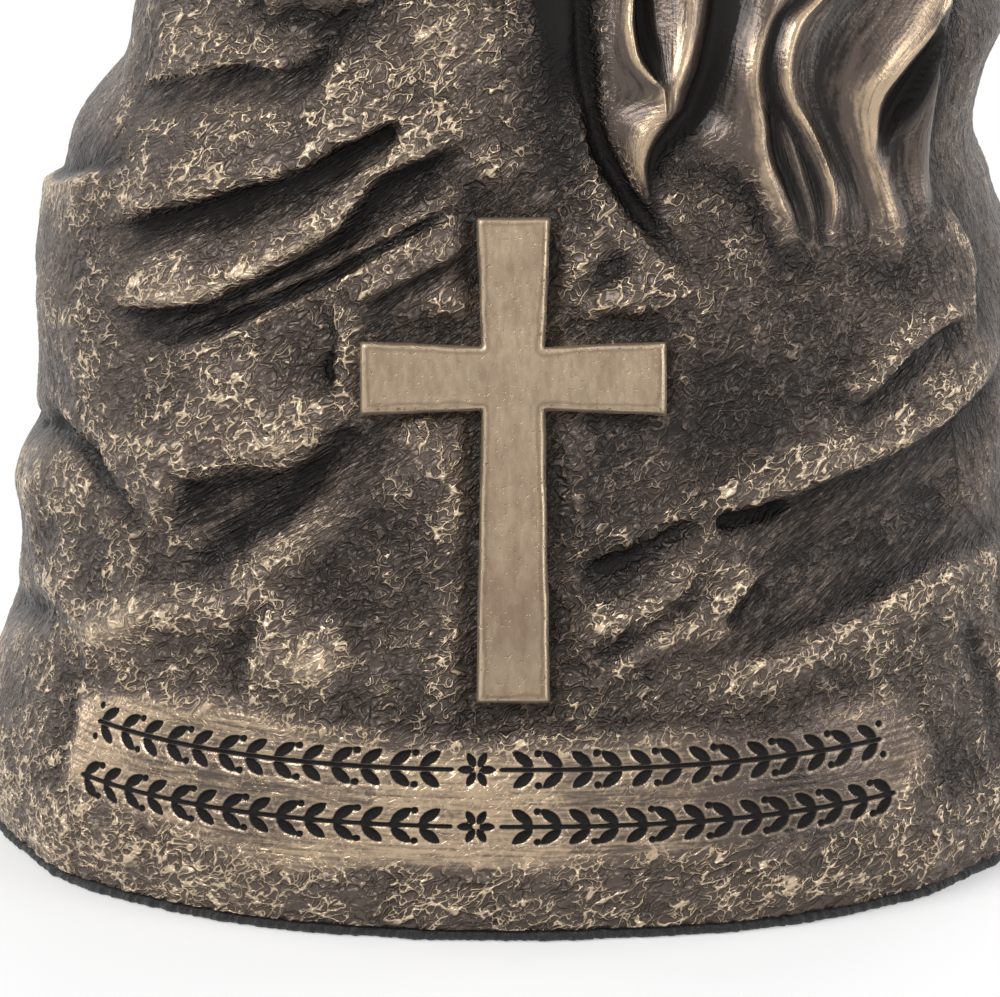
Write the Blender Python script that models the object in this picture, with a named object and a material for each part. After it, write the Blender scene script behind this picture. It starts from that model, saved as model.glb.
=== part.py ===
"""A cast statue: two cupped hands hold a sleeping baby above a rock with a cross in relief.

The statue is one casting in bronze finish, and a felt pad is glued under its foot.
Lengths below are millimetres, and MM turns them into metres when a mesh is made.
The rock's surface is drawn on its unrolled side: degrees round the rock from the
front (-Y), positive towards +X, and height above the table.
"""

import math

import bmesh
import bpy
import numpy as np
from mathutils import Matrix, Vector, noise

MM = 0.001

# Foot
PAD_THICKNESS = 1.2
PAD_GLUE_GAP = 0.3
PAD_INSET = 0.3
ROCK_FOOT = PAD_THICKNESS + PAD_GLUE_GAP

# Rock, and its lumps as rise and size
CROWN_RISE = 2.0
SECTION_POWER = 2.3
DEGREE_ARC = 1.0
LUMPS = ((0.9, 15.0), (0.45, 7.0))
LEDGE_DROP = 0.6
LEDGE_UNDERCUT = 0.4
LEDGE_UNDERCUT_AT = 1.3

# Mesh of the rock and the figure
RING_STEP = 1.2
FRONT_HALF_ANGLE = 100.0
FRONT_COLUMNS = 180
BACK_COLUMNS = 60
PAD_COLUMN_STEP = 2
FIGURE_VOXEL = 1.3
FIGURE_SMOOTHING = 6
ROCK_TRIANGLES = 6300
FIGURE_TRIANGLES = 4800

# Cross
CROSS_FOOT = 27.6
CROSS_HEIGHT = 55.0
CROSS_SPAN = 34.6
CROSS_ARM_DROP = 17.6
CROSS_BAR = 7.0
CROSS_FLARE = 0.6
CROSS_PROUD = 2.4
CROSS_ROOT = 3.0
CROSS_EDGE = 0.5
RECESS_DEPTH = 1.4
RECESS_MARGIN = 3.0
RECESS_FADE = 5.0

# Band below the cross
BAND_PROUD = 0.3
BAND_EDGE = 1.5

# Half widths of the rock at each height: height, left, right, front, back
ROCK_LEVELS = (
    (0.0, 63.0, 64.0, 59.5, 56.0),
    (6.0, 64.5, 65.5, 60.5, 57.5),
    (16.0, 62.5, 64.0, 60.0, 57.0),
    (24.0, 60.0, 63.0, 58.0, 56.0),
    (38.0, 58.5, 61.5, 54.0, 53.5),
    (54.0, 58.0, 60.5, 49.5, 50.5),
    (68.0, 57.5, 59.5, 45.5, 47.5),
    (76.0, 54.5, 56.5, 43.0, 45.5),
    (82.0, 52.0, 54.5, 41.0, 44.0),
    (90.0, 46.0, 56.0, 38.5, 42.0),
    (97.0, 44.5, 58.5, 36.5, 40.0),
    (106.0, 42.0, 55.0, 33.0, 37.0),
    (116.0, 37.0, 47.0, 29.0, 33.0),
    (124.0, 29.0, 37.0, 23.0, 27.0),
    (129.0, 20.0, 26.0, 16.0, 19.0),
)
ROCK_TOP = ROCK_LEVELS[-1][0]

# Ledges: height, soft width above the lip, steep width below it, and the lip's path.
# The raised side is on the left of the path.
LEDGES = (
    (2.6, 9.0, 2.6, ((-58, 76), (-44, 82), (-36, 84), (-29, 87), (-20, 92), (-12, 95))),
    (2.4, 7.0, 2.4, ((-56, 68), (-48, 69.5), (-40, 74), (-33, 76), (-25, 80.5), (-16, 86))),
    (1.3, 5.0, 1.5, ((-25, 71.5), (-19, 73.5), (-12, 76), (-8, 79), (-5, 82))),
    (2.2, 9.0, 4.5, ((-52, 49), (-44, 51), (-38, 52.5), (-30, 55), (-25, 60), (-24, 66))),
    (2.6, 9.0, 2.8, ((-104, 22), (-84, 23.5), (-70, 25.5), (-56, 27.5), (-49, 30.5), (-42, 36))),
    (2.0, 7.0, 2.2, ((-112, 46), (-90, 44.5), (-74, 49), (-64, 49.5), (-55, 48.5), (-45, 50))),
    (2.2, 7.0, 1.6, ((-62, 84), (-70, 81), (-84, 77.5), (-100, 75), (-115, 74))),
    (2.0, 6.0, 1.8, ((-72, 91), (-56, 94.5), (-48, 96.5), (-39, 97), (-30, 101))),
    (2.4, 8.0, 1.8, ((8, 98), (11, 91), (15, 86.5), (18, 83), (22, 79), (28, 73))),
    (1.0, 4.0, 1.4, ((24, 59), (32, 60.5), (39, 59))),
    (2.2, 6.0, 5.0, ((32, 51), (43, 53), (52, 54.5), (59, 58), (70, 62))),
    (1.6, 4.0, 2.0, ((68, 42), (58, 37.5), (48, 36), (40, 34.5), (34, 31), (24, 29))),
    (1.6, 6.0, 2.0, ((62, 62), (65, 68), (67, 72), (65, 79))),
)

# Grooves (negative) and ridges: height, half width and path
STROKES = (
    (-2.6, 2.6, ((-18, 56), (-25, 49.5), (-29, 46), (-34, 43.5), (-39, 40), (-46, 37))),
    (-1.6, 2.0, ((-57, 28), (-56, 21.5), (-53, 15), (-49, 7))),
    (-1.4, 1.8, ((4, 67), (10, 72), (14, 74.5), (20, 77))),
    (1.6, 3.6, ((8, 68), (14, 70.5), (21, 71))),
    (-3.2, 2.8, ((15, 112), (13, 104), (11, 97), (12, 91))),
    (-1.8, 2.0, ((68, 66), (62, 65), (51, 63), (45, 61.5), (38, 61))),
    (-3.0, 4.0, ((19, 33), (29, 38), (35, 40.5), (42, 42.5), (50, 44), (62, 49))),
    (1.4, 2.2, ((8, 37), (14, 38.5), (18, 40), (23, 40.5), (28, 40))),
    (-2.0, 1.5, ((23, 46), (26, 46.5), (29, 47.5), (35, 48.5))),
    (-1.0, 1.8, ((5, 40), (14, 43), (19, 44.5), (23, 47.5))),
    (1.5, 5.0, ((-32, 33), (-26, 32), (-18, 32))),
    (-1.4, 2.2, ((56, 32), (59, 26), (60, 20), (60, 12))),
    (-2.2, 2.6, ((-40, 94), (-34, 96), (-32, 104), (-31, 112))),
    (-2.4, 4.0, ((100, 88), (120, 72), (140, 62), (160, 46))),
    (-2.2, 4.0, ((-120, 96), (-140, 80), (-156, 70), (-176, 62))),
    (-2.0, 4.0, ((150, 100), (166, 86), (178, 74))),
    (-2.4, 4.5, ((-116, 58), (-132, 44), (-150, 36), (-172, 24))),
    (-2.0, 4.0, ((90, 44), (112, 34), (130, 26), (150, 18))),
    (2.2, 5.0, ((104, 94), (124, 80), (142, 70), (158, 54))),
    (2.2, 5.0, ((-118, 66), (-134, 54), (-152, 46), (-170, 34))),
)

# The cloth that hangs over the rock: outlines of its raised parts, then its lips and folds
CLOTH_PROUD = 3.2
CLOTH_EDGE = 2.6
CLOTH_COVER = 0.8
CLOTH_OUTLINE = (
    (15, 126), (14, 105), (15, 92), (18, 85), (21, 80), (24, 86), (30, 90), (36, 83),
    (40, 73), (44, 77), (48, 75), (52, 80), (57, 73), (63, 74), (69, 82), (70, 98), (72, 126),
)
CORNER_OUTLINE = (
    (-50, 126), (-47, 106), (-43, 102.5), (-38, 104), (-32, 103), (-27, 105), (-22, 112), (-18, 126),
)
# Lips of the cloth, as the ledges above: rise, soft width, steep width and path
CLOTH_LIPS = (
    (2.2, 5.0, 1.5, ((26, 93.5), (24, 95), (23, 98), (22, 101), (22, 104.5), (22, 126))),
    (2.0, 5.5, 1.4, ((51, 126), (51, 103.5), (46, 98.5), (44, 95.5), (45, 92), (47, 86), (48, 80), (46, 76))),
    (2.4, 6.0, 1.6, ((57, 75), (57, 81), (56, 86), (57, 92.5), (63, 96), (66, 98.5), (69, 101), (71, 126))),
    (1.6, 4.0, 1.4, ((69, 92), (65, 89), (63, 87), (61, 85.5), (59, 83))),
    (1.4, 4.0, 1.4, ((61, 73), (65, 77), (68, 82.5), (68, 88.5), (67, 94.5))),
)

# Hollows (negative) and round folds of the cloth: height, half width and path
FOLDS = (
    (-3.4, 2.2, ((26, 120), (25.5, 104), (25.5, 101), (25.5, 98.5), (26.5, 95.5))),
    (1.8, 3.0, ((34, 126), (33.5, 104), (32.5, 100), (30, 96.5), (27, 93), (24.5, 90), (22.5, 86.5), (22, 81))),
    (-3.2, 2.2, ((41, 124), (40, 104), (38, 99.5), (34, 96), (31, 92.5), (28, 90), (25, 86))),
    (2.0, 2.4, ((45, 126), (44, 103.5), (41, 99.5), (39, 95.5), (39, 92.5), (40, 88), (40, 82), (40, 74))),
    (-2.2, 1.7, ((49, 122), (47, 103), (44.5, 98.5), (42.5, 94), (42.5, 90), (43.5, 81.5), (43, 75))),
    (-1.6, 4.0, ((58, 124), (57, 104), (53, 99), (51, 94), (51, 88), (52, 80))),
    (-3.8, 1.8, ((68, 96), (64, 92.5), (62, 90), (60, 87.5), (58, 85.5))),
    (1.2, 2.0, ((-44, 126), (-42, 112), (-42, 104))),
    (-1.4, 1.8, ((-37, 124), (-36, 112), (-37, 104))),
    (1.2, 2.0, ((-29, 126), (-30, 112), (-31, 104))),
)

# The worn band: outline on the unrolled rock
BAND_OUTLINE = (
    (-54, 22.5), (-43, 24.5), (-30, 26), (-21, 24.5), (-13, 23.5), (-3, 22.5), (5, 23),
    (14, 24), (28, 23.5), (34, 25), (44, 25), (48, 18), (43, 12), (37, 11.5), (29, 11),
    (20, 10), (9, 9.5), (-4, 9), (-12, 9.5), (-24, 8), (-31, 9.5), (-43, 11.5), (-53, 13),
)

# The figure stands on the rock's top. Its joints are x, y and z from there, and a radius.
FIGURE_AT = (4.0, 0.0, ROCK_TOP)

# Right hand, mirrored for the left: wrist and palm, then the little, ring, middle and index
# fingers, then the thumb
HAND_CHAINS = (
    ((2, -2, -21, 16), (10, -2, 1, 14)),
    ((11, 2, -19, 14), (9, 6, 3, 12), (7.5, 22, 23, 7)),
    ((14, 2, -11, 13), (15, 8, 5, 11.5), (19.5, 26, 27, 7.5)),
    ((17, 2, -11, 13), (23, 7, 5, 11.5), (32, 25, 28, 7.6)),
    ((19, 1, -11, 13), (30, 3, 7, 11), (43.5, 18, 26, 7.4)),
    ((7.5, 22, 23, 7), (7, 30, 37, 6.3), (6.5, 28, 48, 5.8), (6.5, 21, 54, 5.1)),
    ((19.5, 26, 27, 7.4), (20, 35, 42, 6.7), (20, 33, 56, 6.2), (19.5, 25, 64, 5.4)),
    ((32, 25, 28, 7.5), (33.5, 34, 44, 6.8), (34, 32, 59, 6.3), (33, 23.5, 68, 5.5)),
    ((43.5, 18, 26, 7.3), (46.5, 26, 42, 6.6), (47, 24, 55, 6.1), (45.5, 16, 62, 5.3)),
    ((20, -2, 1, 13), (39, -9, 13, 10), (49.5, -9, 26, 7.9), (50, -4, 39, 6.4)),
)

# The baby, curled on its side, and the cloth that wraps it
BABY_CHAINS = (
    ((-27, -1, 34, 14), (-23, -7, 29, 10.5)),
    ((-12, 4, 26, 12), (6, 6, 23, 14.5), (20, 5, 22, 14)),
    ((20, 2, 22, 13), (7, -10, 19, 9.5), (21, -15, 14, 7.5)),
    ((-13, -3, 27, 7.5), (-6, -12, 23, 5.6), (-14, -15, 24, 4.6), (-19, -14, 26, 4.8)),
)
WRAP_CHAINS = (
    ((-20, -6, 19, 8), (-24, -17, 1, 5.5), (-25, -20, -17, 3)),
    ((-13, -9, 18, 9), (-16, -20, 0, 6), (-18, -24, -17, 3)),
    ((-6, -12, 15, 9), (-8, -21, -1, 6.5), (-9, -24, -13, 3.5)),
    ((1, -13, 14, 9), (0, -22, -1, 7), (0, -25, -13, 4)),
    ((8, -14, 14, 9), (8, -23, -2, 7), (9, -28, -19, 5)),
    ((15, -15, 13, 9), (17, -23, -2, 7.5), (19, -28, -19, 5.5)),
    ((22, -13, 14, 9), (26, -21, -2, 7.5), (30, -25, -19, 5.5)),
    ((29, -9, 16, 9), (35, -17, 0, 7.5), (38, -19, -19, 5.5)),
)


def blend(start, end, value):
    """Smooth step from 0 at start to 1 at end."""
    share = np.clip((value - start) / (end - start), 0.0, 1.0)
    return share * share * (3.0 - 2.0 * share)


def level_value(height, column):
    """One column of ROCK_LEVELS at any height, as a smooth curve through its rows."""
    heights = np.array([row[0] for row in ROCK_LEVELS])
    values = np.array([row[column] for row in ROCK_LEVELS])
    slopes = np.gradient(values, heights)
    height = np.clip(height, heights[0], heights[-1])
    row = np.clip(np.searchsorted(heights, height, side="right") - 1, 0, len(heights) - 2)
    gap = heights[row + 1] - heights[row]
    t = (height - heights[row]) / gap
    start = (2 * t**3 - 3 * t**2 + 1) * values[row] + (t**3 - 2 * t**2 + t) * gap * slopes[row]
    end = (3 * t**2 - 2 * t**3) * values[row + 1] + (t**3 - t**2) * gap * slopes[row + 1]
    return start + end


def plain_radius(angle, height):
    """Distance from the axis to the rock's plain form, without its relief."""
    along, across = np.cos(np.radians(angle)), np.sin(np.radians(angle))
    side = np.where(across < 0, level_value(height, 1), level_value(height, 2))
    depth = np.where(along > 0, level_value(height, 3), level_value(height, 4))
    power = SECTION_POWER
    return ((np.abs(across) / side) ** power + (np.abs(along) / depth) ** power) ** (-1 / power)


def smooth_path(points, steps=5):
    """Points of a smooth curve through a path's own points."""
    given = [Vector(p) for p in points]
    ends = [given[0] * 2 - given[1], *given, given[-1] * 2 - given[-2]]
    made = []
    for before, start, end, after in zip(ends, ends[1:], ends[2:], ends[3:]):
        for step in range(steps):
            t = step / steps
            made.append(
                0.5 * (2 * start + (end - before) * t
                       + (2 * before - 5 * start + 4 * end - after) * t**2
                       + (3 * start - before - 3 * end + after) * t**3)
            )
    return np.array([*made, given[-1]], float)


def path_distance(path, angle, height):
    """Distance to a path, side of it (positive on its left) and share of its length passed."""
    nearest = np.full(angle.shape, np.inf)
    side = np.ones(angle.shape)
    share = np.zeros(angle.shape)
    lengths = np.linalg.norm(np.diff(path, axis=0), axis=1)
    passed = np.concatenate([[0.0], np.cumsum(lengths)])
    for start, end, length, before in zip(path, path[1:], lengths, passed):
        run = (end - start) / length
        da, dh = (angle - start[0]) * DEGREE_ARC, height - start[1]
        t = np.clip(da * run[0] + dh * run[1], 0.0, length)
        off = np.hypot(da - t * run[0], dh - t * run[1])
        closer = off < nearest
        nearest = np.where(closer, off, nearest)
        side = np.where(closer, np.sign(run[0] * dh - run[1] * da), side)
        share = np.where(closer, (before + t) / passed[-1], share)
    return nearest, side, share


def inside_distance(outline, angle, height):
    """Distance to a closed outline, positive inside it."""
    corners = np.array([*outline, outline[0]], float)
    distance, _, _ = path_distance(corners, angle, height)
    within = np.zeros(angle.shape, bool)
    for (a0, h0), (a1, h1) in zip(corners, corners[1:]):
        if h0 == h1:
            continue
        crosses = (h0 > height) != (h1 > height)
        within ^= crosses & (angle < a0 + (height - h0) * (a1 - a0) / (h1 - h0))
    return np.where(within, distance, -distance)


def fade_ends(share, span):
    """Fade towards both ends of a path, each over a share of its length."""
    return blend(0.0, span, share) * blend(1.0, 1.0 - span, share)


def ledge_relief(angle, height, rise, soft, steep, points, span=0.16):
    distance, side, share = path_distance(smooth_path(points), angle, height)
    width = np.where(side > 0, soft, steep)
    lip = np.exp(-((distance / width) ** 2)) * np.where(side > 0, 1.0, LEDGE_DROP)
    undercut = np.exp(-((distance / steep - LEDGE_UNDERCUT_AT) ** 2)) * (side < 0)
    return rise * (lip - LEDGE_UNDERCUT * undercut) * fade_ends(share, span)


def stroke_relief(angle, height, rise, width, points, span=0.16):
    distance, _, share = path_distance(smooth_path(points), angle, height)
    return rise * np.exp(-((distance / width) ** 2)) * fade_ends(share, span)


def lump_relief(angle, height):
    """Uneven lumps all over the rock."""
    radius, turned = plain_radius(angle, height), np.radians(angle)
    places = np.stack([radius * np.sin(turned), -radius * np.cos(turned), height], axis=-1)
    relief = np.zeros(angle.size)
    for rise, size in LUMPS:
        relief += rise * np.array([noise.noise(Vector(p) / size) for p in places.reshape(-1, 3)])
    return relief.reshape(angle.shape)


def cross_tilt():
    """Lean of the rock's front face behind the cross, in radians from upright."""
    top = CROSS_FOOT + CROSS_HEIGHT
    low, high = plain_radius(np.zeros(2), np.array([CROSS_FOOT, top]))
    return math.atan2(low - high, CROSS_HEIGHT)


def recess_radius(angle, height):
    """Radius of the flat recess behind the cross."""
    tilt = cross_tilt()
    middle = CROSS_FOOT + CROSS_HEIGHT / 2
    face = float(plain_radius(np.zeros(1), np.array([middle]))[0]) - RECESS_DEPTH
    reach = face * math.cos(tilt) + middle * math.sin(tilt)
    return (reach - height * math.sin(tilt)) / (np.cos(np.radians(angle)) * math.cos(tilt))


def cross_distance(x, height):
    """Distance outside the cross's outline, seen from the front."""
    middle = CROSS_FOOT + CROSS_HEIGHT / 2
    arm = CROSS_FOOT + CROSS_HEIGHT - CROSS_ARM_DROP
    post = np.maximum(np.abs(x) - CROSS_BAR / 2, np.abs(height - middle) - CROSS_HEIGHT / 2)
    bar = np.maximum(np.abs(x) - CROSS_SPAN / 2, np.abs(height - arm) - CROSS_BAR / 2)
    return np.minimum(post, bar)


def rock_radius(angle, height):
    """Distance from the axis to the rock's surface, with its relief."""
    plain = plain_radius(angle, height)
    relief = lump_relief(angle, height)
    relief = relief + sum(ledge_relief(angle, height, *ledge) for ledge in LEDGES)
    relief = relief + sum(stroke_relief(angle, height, *stroke) for stroke in STROKES)
    cloth = blend(-CLOTH_EDGE, CLOTH_EDGE, inside_distance(CLOTH_OUTLINE, angle, height))
    corner = blend(-CLOTH_EDGE, CLOTH_EDGE, inside_distance(CORNER_OUTLINE, angle, height))
    cloth = np.maximum(cloth, corner)
    folds = sum(stroke_relief(angle, height, *fold, span=0.08) for fold in FOLDS)
    folds = folds + sum(ledge_relief(angle, height, *lip, span=0.08) for lip in CLOTH_LIPS)
    relief = relief * (1 - CLOTH_COVER * cloth) + CLOTH_PROUD * cloth + folds
    band = blend(-BAND_EDGE, BAND_EDGE, inside_distance(BAND_OUTLINE, angle, height))
    relief = relief * (1 - band) + BAND_PROUD * band
    radius = plain + relief
    x = plain * np.sin(np.radians(angle))
    reach = RECESS_MARGIN + RECESS_FADE
    front = (np.cos(np.radians(angle)) > 0) & (np.abs(x) < CROSS_SPAN / 2 + reach)
    near = 1 - blend(RECESS_MARGIN, reach, cross_distance(x, height))
    flat = recess_radius(np.where(front, angle, 0.0), height)
    return np.where(front, radius + (flat - radius) * near, radius)


def column_angles():
    """Angles of the rock's columns, close together in front and wider behind."""
    front = np.linspace(-FRONT_HALF_ANGLE, FRONT_HALF_ANGLE, FRONT_COLUMNS)
    back = np.linspace(FRONT_HALF_ANGLE, 360 - FRONT_HALF_ANGLE, BACK_COLUMNS + 2)[1:-1]
    return np.concatenate([front, np.where(back > 180, back - 360, back)])


def surface_points(angles, heights, radii):
    """Rings of points, one ring for each height."""
    turned = np.radians(angles)
    return [
        [Vector((r * math.sin(a), -r * math.cos(a), height)) * MM for a, r in zip(turned, ring)]
        for height, ring in zip(heights, radii)
    ]


def rock_radii(angles, heights):
    """Rock radii for every pair of height and angle."""
    return rock_radius(*np.meshgrid(angles, heights))


def add_object(name, mesh, material=None):
    obj = bpy.data.objects.new(name, mesh)
    bpy.context.scene.collection.objects.link(obj)
    if material:
        mesh.materials.append(material)
    return obj


def add_guide(name, mesh):
    """An object that only shapes another one."""
    obj = add_object(name, mesh)
    obj.hide_render = True
    obj.display_type = "WIRE"
    return obj


def add_material(name, colour, roughness, metallic):
    material = bpy.data.materials.new(name)
    material.use_nodes = True
    shader = material.node_tree.nodes["Principled BSDF"]
    shader.inputs["Base Color"].default_value = (*colour, 1.0)
    shader.inputs["Roughness"].default_value = roughness
    shader.inputs["Metallic"].default_value = metallic
    return material


def loft(name, rings, crown=None):
    """A closed mesh through rings of points, from the lowest up, with an optional top point."""
    mesh = bpy.data.meshes.new(name)
    bm = bmesh.new()
    made = [[bm.verts.new(p) for p in ring] for ring in rings]
    count = len(made[0])
    for low, high in zip(made, made[1:]):
        for i in range(count):
            j = (i + 1) % count
            bm.faces.new((low[i], low[j], high[j], high[i]))
    bm.faces.new(list(reversed(made[0])))
    if crown is None:
        bm.faces.new(made[-1])
    else:
        top = bm.verts.new(crown)
        for i in range(count):
            bm.faces.new((made[-1][i], made[-1][(i + 1) % count], top))
    bmesh.ops.triangulate(bm, faces=[f for f in bm.faces if len(f.verts) > 4])
    bmesh.ops.recalc_face_normals(bm, faces=bm.faces)
    bm.to_mesh(mesh)
    bm.free()
    return mesh


def rock_mesh():
    angles = column_angles()
    heights = np.linspace(ROCK_FOOT, ROCK_TOP, round((ROCK_TOP - ROCK_FOOT) / RING_STEP) + 1)
    rings = surface_points(angles, heights, rock_radii(angles, heights))
    crown = Vector((FIGURE_AT[0], FIGURE_AT[1], ROCK_TOP + CROWN_RISE)) * MM
    return loft("rock", rings, crown)


def pad_mesh():
    angles = column_angles()[::PAD_COLUMN_STEP]
    radii = rock_radii(angles, [ROCK_FOOT]) - PAD_INSET
    return loft("pad", surface_points(angles, (0.0, PAD_THICKNESS), np.repeat(radii, 2, axis=0)))


def cross_outline():
    """The cross's outline, its bars a little wider at their ends."""
    half, end = CROSS_BAR / 2, CROSS_BAR / 2 + CROSS_FLARE
    span, arm = CROSS_SPAN / 2, CROSS_HEIGHT - CROSS_ARM_DROP
    right = [
        (end, 0), (half, arm - half), (span, arm - end), (span, arm + end),
        (half, arm + half), (end, CROSS_HEIGHT),
    ]
    return right + [(-x, y) for x, y in reversed(right)]


def cross_mesh():
    """The cross as a plate with eased edges, lying on the recess and rooted in the rock."""
    tilt = cross_tilt()
    foot = float(recess_radius(np.zeros(1), np.array([CROSS_FOOT]))[0])
    place = Matrix.Translation(Vector((0, -foot, CROSS_FOOT)) * MM) @ Matrix.Rotation(-tilt, 4, "X")
    mesh = bpy.data.meshes.new("cross")
    bm = bmesh.new()
    face = bm.faces.new([bm.verts.new(Vector((x, CROSS_ROOT, y)) * MM) for x, y in cross_outline()])
    out = bmesh.ops.extrude_face_region(bm, geom=[face])
    front = [v for v in out["geom"] if isinstance(v, bmesh.types.BMVert)]
    bmesh.ops.translate(bm, verts=front, vec=Vector((0, -CROSS_ROOT - CROSS_PROUD, 0)) * MM)
    bmesh.ops.recalc_face_normals(bm, faces=bm.faces)
    front_edges = [e for e in bm.edges if all(v in front for v in e.verts)]
    bmesh.ops.bevel(bm, geom=front_edges, offset=CROSS_EDGE * MM, segments=2, affect="EDGES")
    bmesh.ops.transform(bm, matrix=place, verts=bm.verts)
    bm.to_mesh(mesh)
    bm.free()
    return mesh


def add_chain(bm, chain, mirror=1):
    """Balls at a chain's joints and cones between them."""
    joints = [(Vector((mirror * x, y, z)) + Vector(FIGURE_AT), r) for x, y, z, r in chain]
    for centre, radius in joints:
        bmesh.ops.create_icosphere(
            bm, subdivisions=3, radius=radius * MM, matrix=Matrix.Translation(centre * MM)
        )
    for (start, low), (end, high) in zip(joints, joints[1:]):
        run = end - start
        place = Matrix.Translation((start + end) / 2 * MM) @ run.to_track_quat("Z", "Y").to_matrix().to_4x4()
        bmesh.ops.create_cone(
            bm, cap_ends=True, segments=24, radius1=low * MM, radius2=high * MM,
            depth=run.length * MM, matrix=place,
        )


def thin_out(obj, triangles):
    """Fewer triangles where the surface is plain."""
    made = obj.evaluated_get(bpy.context.evaluated_depsgraph_get()).to_mesh()
    made.calc_loop_triangles()
    thin = obj.modifiers.new("Thin", "DECIMATE")
    thin.ratio = min(1.0, triangles / len(made.loop_triangles))


def figure_guide():
    """Hands, baby and wrap, fused and smoothed into one body."""
    mesh = bpy.data.meshes.new("figure")
    bm = bmesh.new()
    for chain in HAND_CHAINS:
        add_chain(bm, chain)
        add_chain(bm, chain, mirror=-1)
    for chain in BABY_CHAINS + WRAP_CHAINS:
        add_chain(bm, chain)
    bm.to_mesh(mesh)
    bm.free()
    figure = add_guide("figure", mesh)
    fuse = figure.modifiers.new("Fuse", "REMESH")
    fuse.mode = "VOXEL"
    fuse.voxel_size = FIGURE_VOXEL * MM
    ease = figure.modifiers.new("Ease", "SMOOTH")
    ease.factor = 0.5
    ease.iterations = FIGURE_SMOOTHING
    thin_out(figure, FIGURE_TRIANGLES)
    return figure


def join(target, piece):
    union = target.modifiers.new("Join " + piece.name, "BOOLEAN")
    union.operation = "UNION"
    union.solver = "EXACT"
    union.object = piece


def main():
    for obj in list(bpy.data.objects):
        bpy.data.objects.remove(obj)
    bronze = add_material("cast bronze finish", (0.13, 0.10, 0.07), 0.42, 0.7)
    felt = add_material("black felt", (0.02, 0.02, 0.02), 0.95, 0.0)
    statue = add_object("statue", rock_mesh(), bronze)
    thin_out(statue, ROCK_TRIANGLES)
    join(statue, add_guide("cross", cross_mesh()))
    join(statue, figure_guide())
    add_object("felt_pad", pad_mesh(), felt)


main()
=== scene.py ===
"""The looks of a cast statue in an antiqued bronze finish.

Cupped hands hold a sleeping baby above a craggy rock with a plain cross and a worn band.
Lengths are millimetres, and MM turns them into metres when a mesh is made. The rock is
drawn on its unrolled side: degrees round it from the front (-Y), positive towards +X,
and height above the table.
"""

import math

import bpy
import numpy as np
from mathutils import Matrix, Vector, noise

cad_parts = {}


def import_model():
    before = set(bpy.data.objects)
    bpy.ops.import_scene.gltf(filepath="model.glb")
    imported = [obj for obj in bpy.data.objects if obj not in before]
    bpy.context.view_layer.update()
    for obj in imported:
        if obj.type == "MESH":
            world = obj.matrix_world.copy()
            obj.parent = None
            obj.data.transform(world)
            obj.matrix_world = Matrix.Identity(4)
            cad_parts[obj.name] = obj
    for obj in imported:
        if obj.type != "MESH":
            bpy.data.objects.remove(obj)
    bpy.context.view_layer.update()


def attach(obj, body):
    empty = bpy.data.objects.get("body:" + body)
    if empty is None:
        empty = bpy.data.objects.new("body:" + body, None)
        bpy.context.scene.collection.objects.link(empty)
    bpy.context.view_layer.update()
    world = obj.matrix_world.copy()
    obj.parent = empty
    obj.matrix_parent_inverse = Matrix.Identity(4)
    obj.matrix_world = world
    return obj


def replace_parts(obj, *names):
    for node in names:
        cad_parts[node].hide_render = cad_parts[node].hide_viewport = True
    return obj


MM = 0.001

# Camera that matches the photograph
CAMERA_AT = (0.0, -900.0, 297.0)
CAMERA_AIM = (-1.5, -50.0, 50.0)
CAMERA_LENS = 280.0
SENSOR_WIDTH = 36.0

# Lamps in metres: name, place, aim, size and watts
LAMPS = (
    ("key", (-0.7, -0.7, 1.0), (0, 0, 0.06), (0.7, 0.7), 12.0),
    ("fill", (0.9, -0.5, 0.5), (0, 0, 0.08), (0.5, 0.8), 4.2),
    ("back", (0.2, 0.9, 0.8), (0, 0, 0.1), (0.8, 0.5), 5.0),
    ("right edge", (1.0, 0.35, 0.3), (0, 0, 0.07), (0.25, 0.7), 3.0),
    ("left edge", (-1.0, 0.35, 0.3), (0, 0, 0.07), (0.25, 0.7), 2.0),
)

# Floor in metres: half its side, and the distances between which it turns white
FLOOR_HALF = 6.0
FLOOR_FADE = (0.07, 0.16)
SHADE_LIGHT = 0.45

# Foot
PAD_THICKNESS = 1.2
PAD_FUZZ = 0.35
ROCK_FOOT = 1.5

# Rock, and its lumps as rise and size
CROWN_RISE = 2.0
SECTION_POWER = 2.3
LUMPS = ((0.9, 15.0), (0.45, 7.0))
LEDGE_HOLLOW = 0.3
LEDGE_RUN = 3.4
LEDGE_ENDS = 0.2
STROKE_ENDS = 0.28
PATH_REACH = 18.0
PATH_STEPS = 6
FOLD_SHARPNESS = 1.7
FOLD_GAP = 0.35
FOLD_START = 3.0

# Wedges of the rock's mesh: name, first and last angle, and the step between columns
WEDGES = (
    ("rock_left", -98.0, -2.0, 0.4),
    ("rock_right", -2.0, 94.0, 0.4),
    ("rock_back", 94.0, 262.0, 1.2),
)
RING_STEP = 0.38
WRINKLE_RISE = 0.30

# Cross
CROSS_FOOT = 27.6
CROSS_HEIGHT = 55.0
CROSS_SPAN = 34.6
CROSS_ARM_DROP = 18.2
CROSS_BAR = 7.0
CROSS_FLARE = 0.6
CROSS_PROUD = 2.4
CROSS_ROOT = 3.0
CROSS_EDGE = 0.55
CROSS_STEP = 0.28
CROSS_MARGIN = 1.2
CROSS_WANDER = 0.10
CROSS_DENTS = 0.22
RECESS_DEPTH = 1.4
RECESS_MARGIN = 1.0
RECESS_FADE = 3.6

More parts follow.
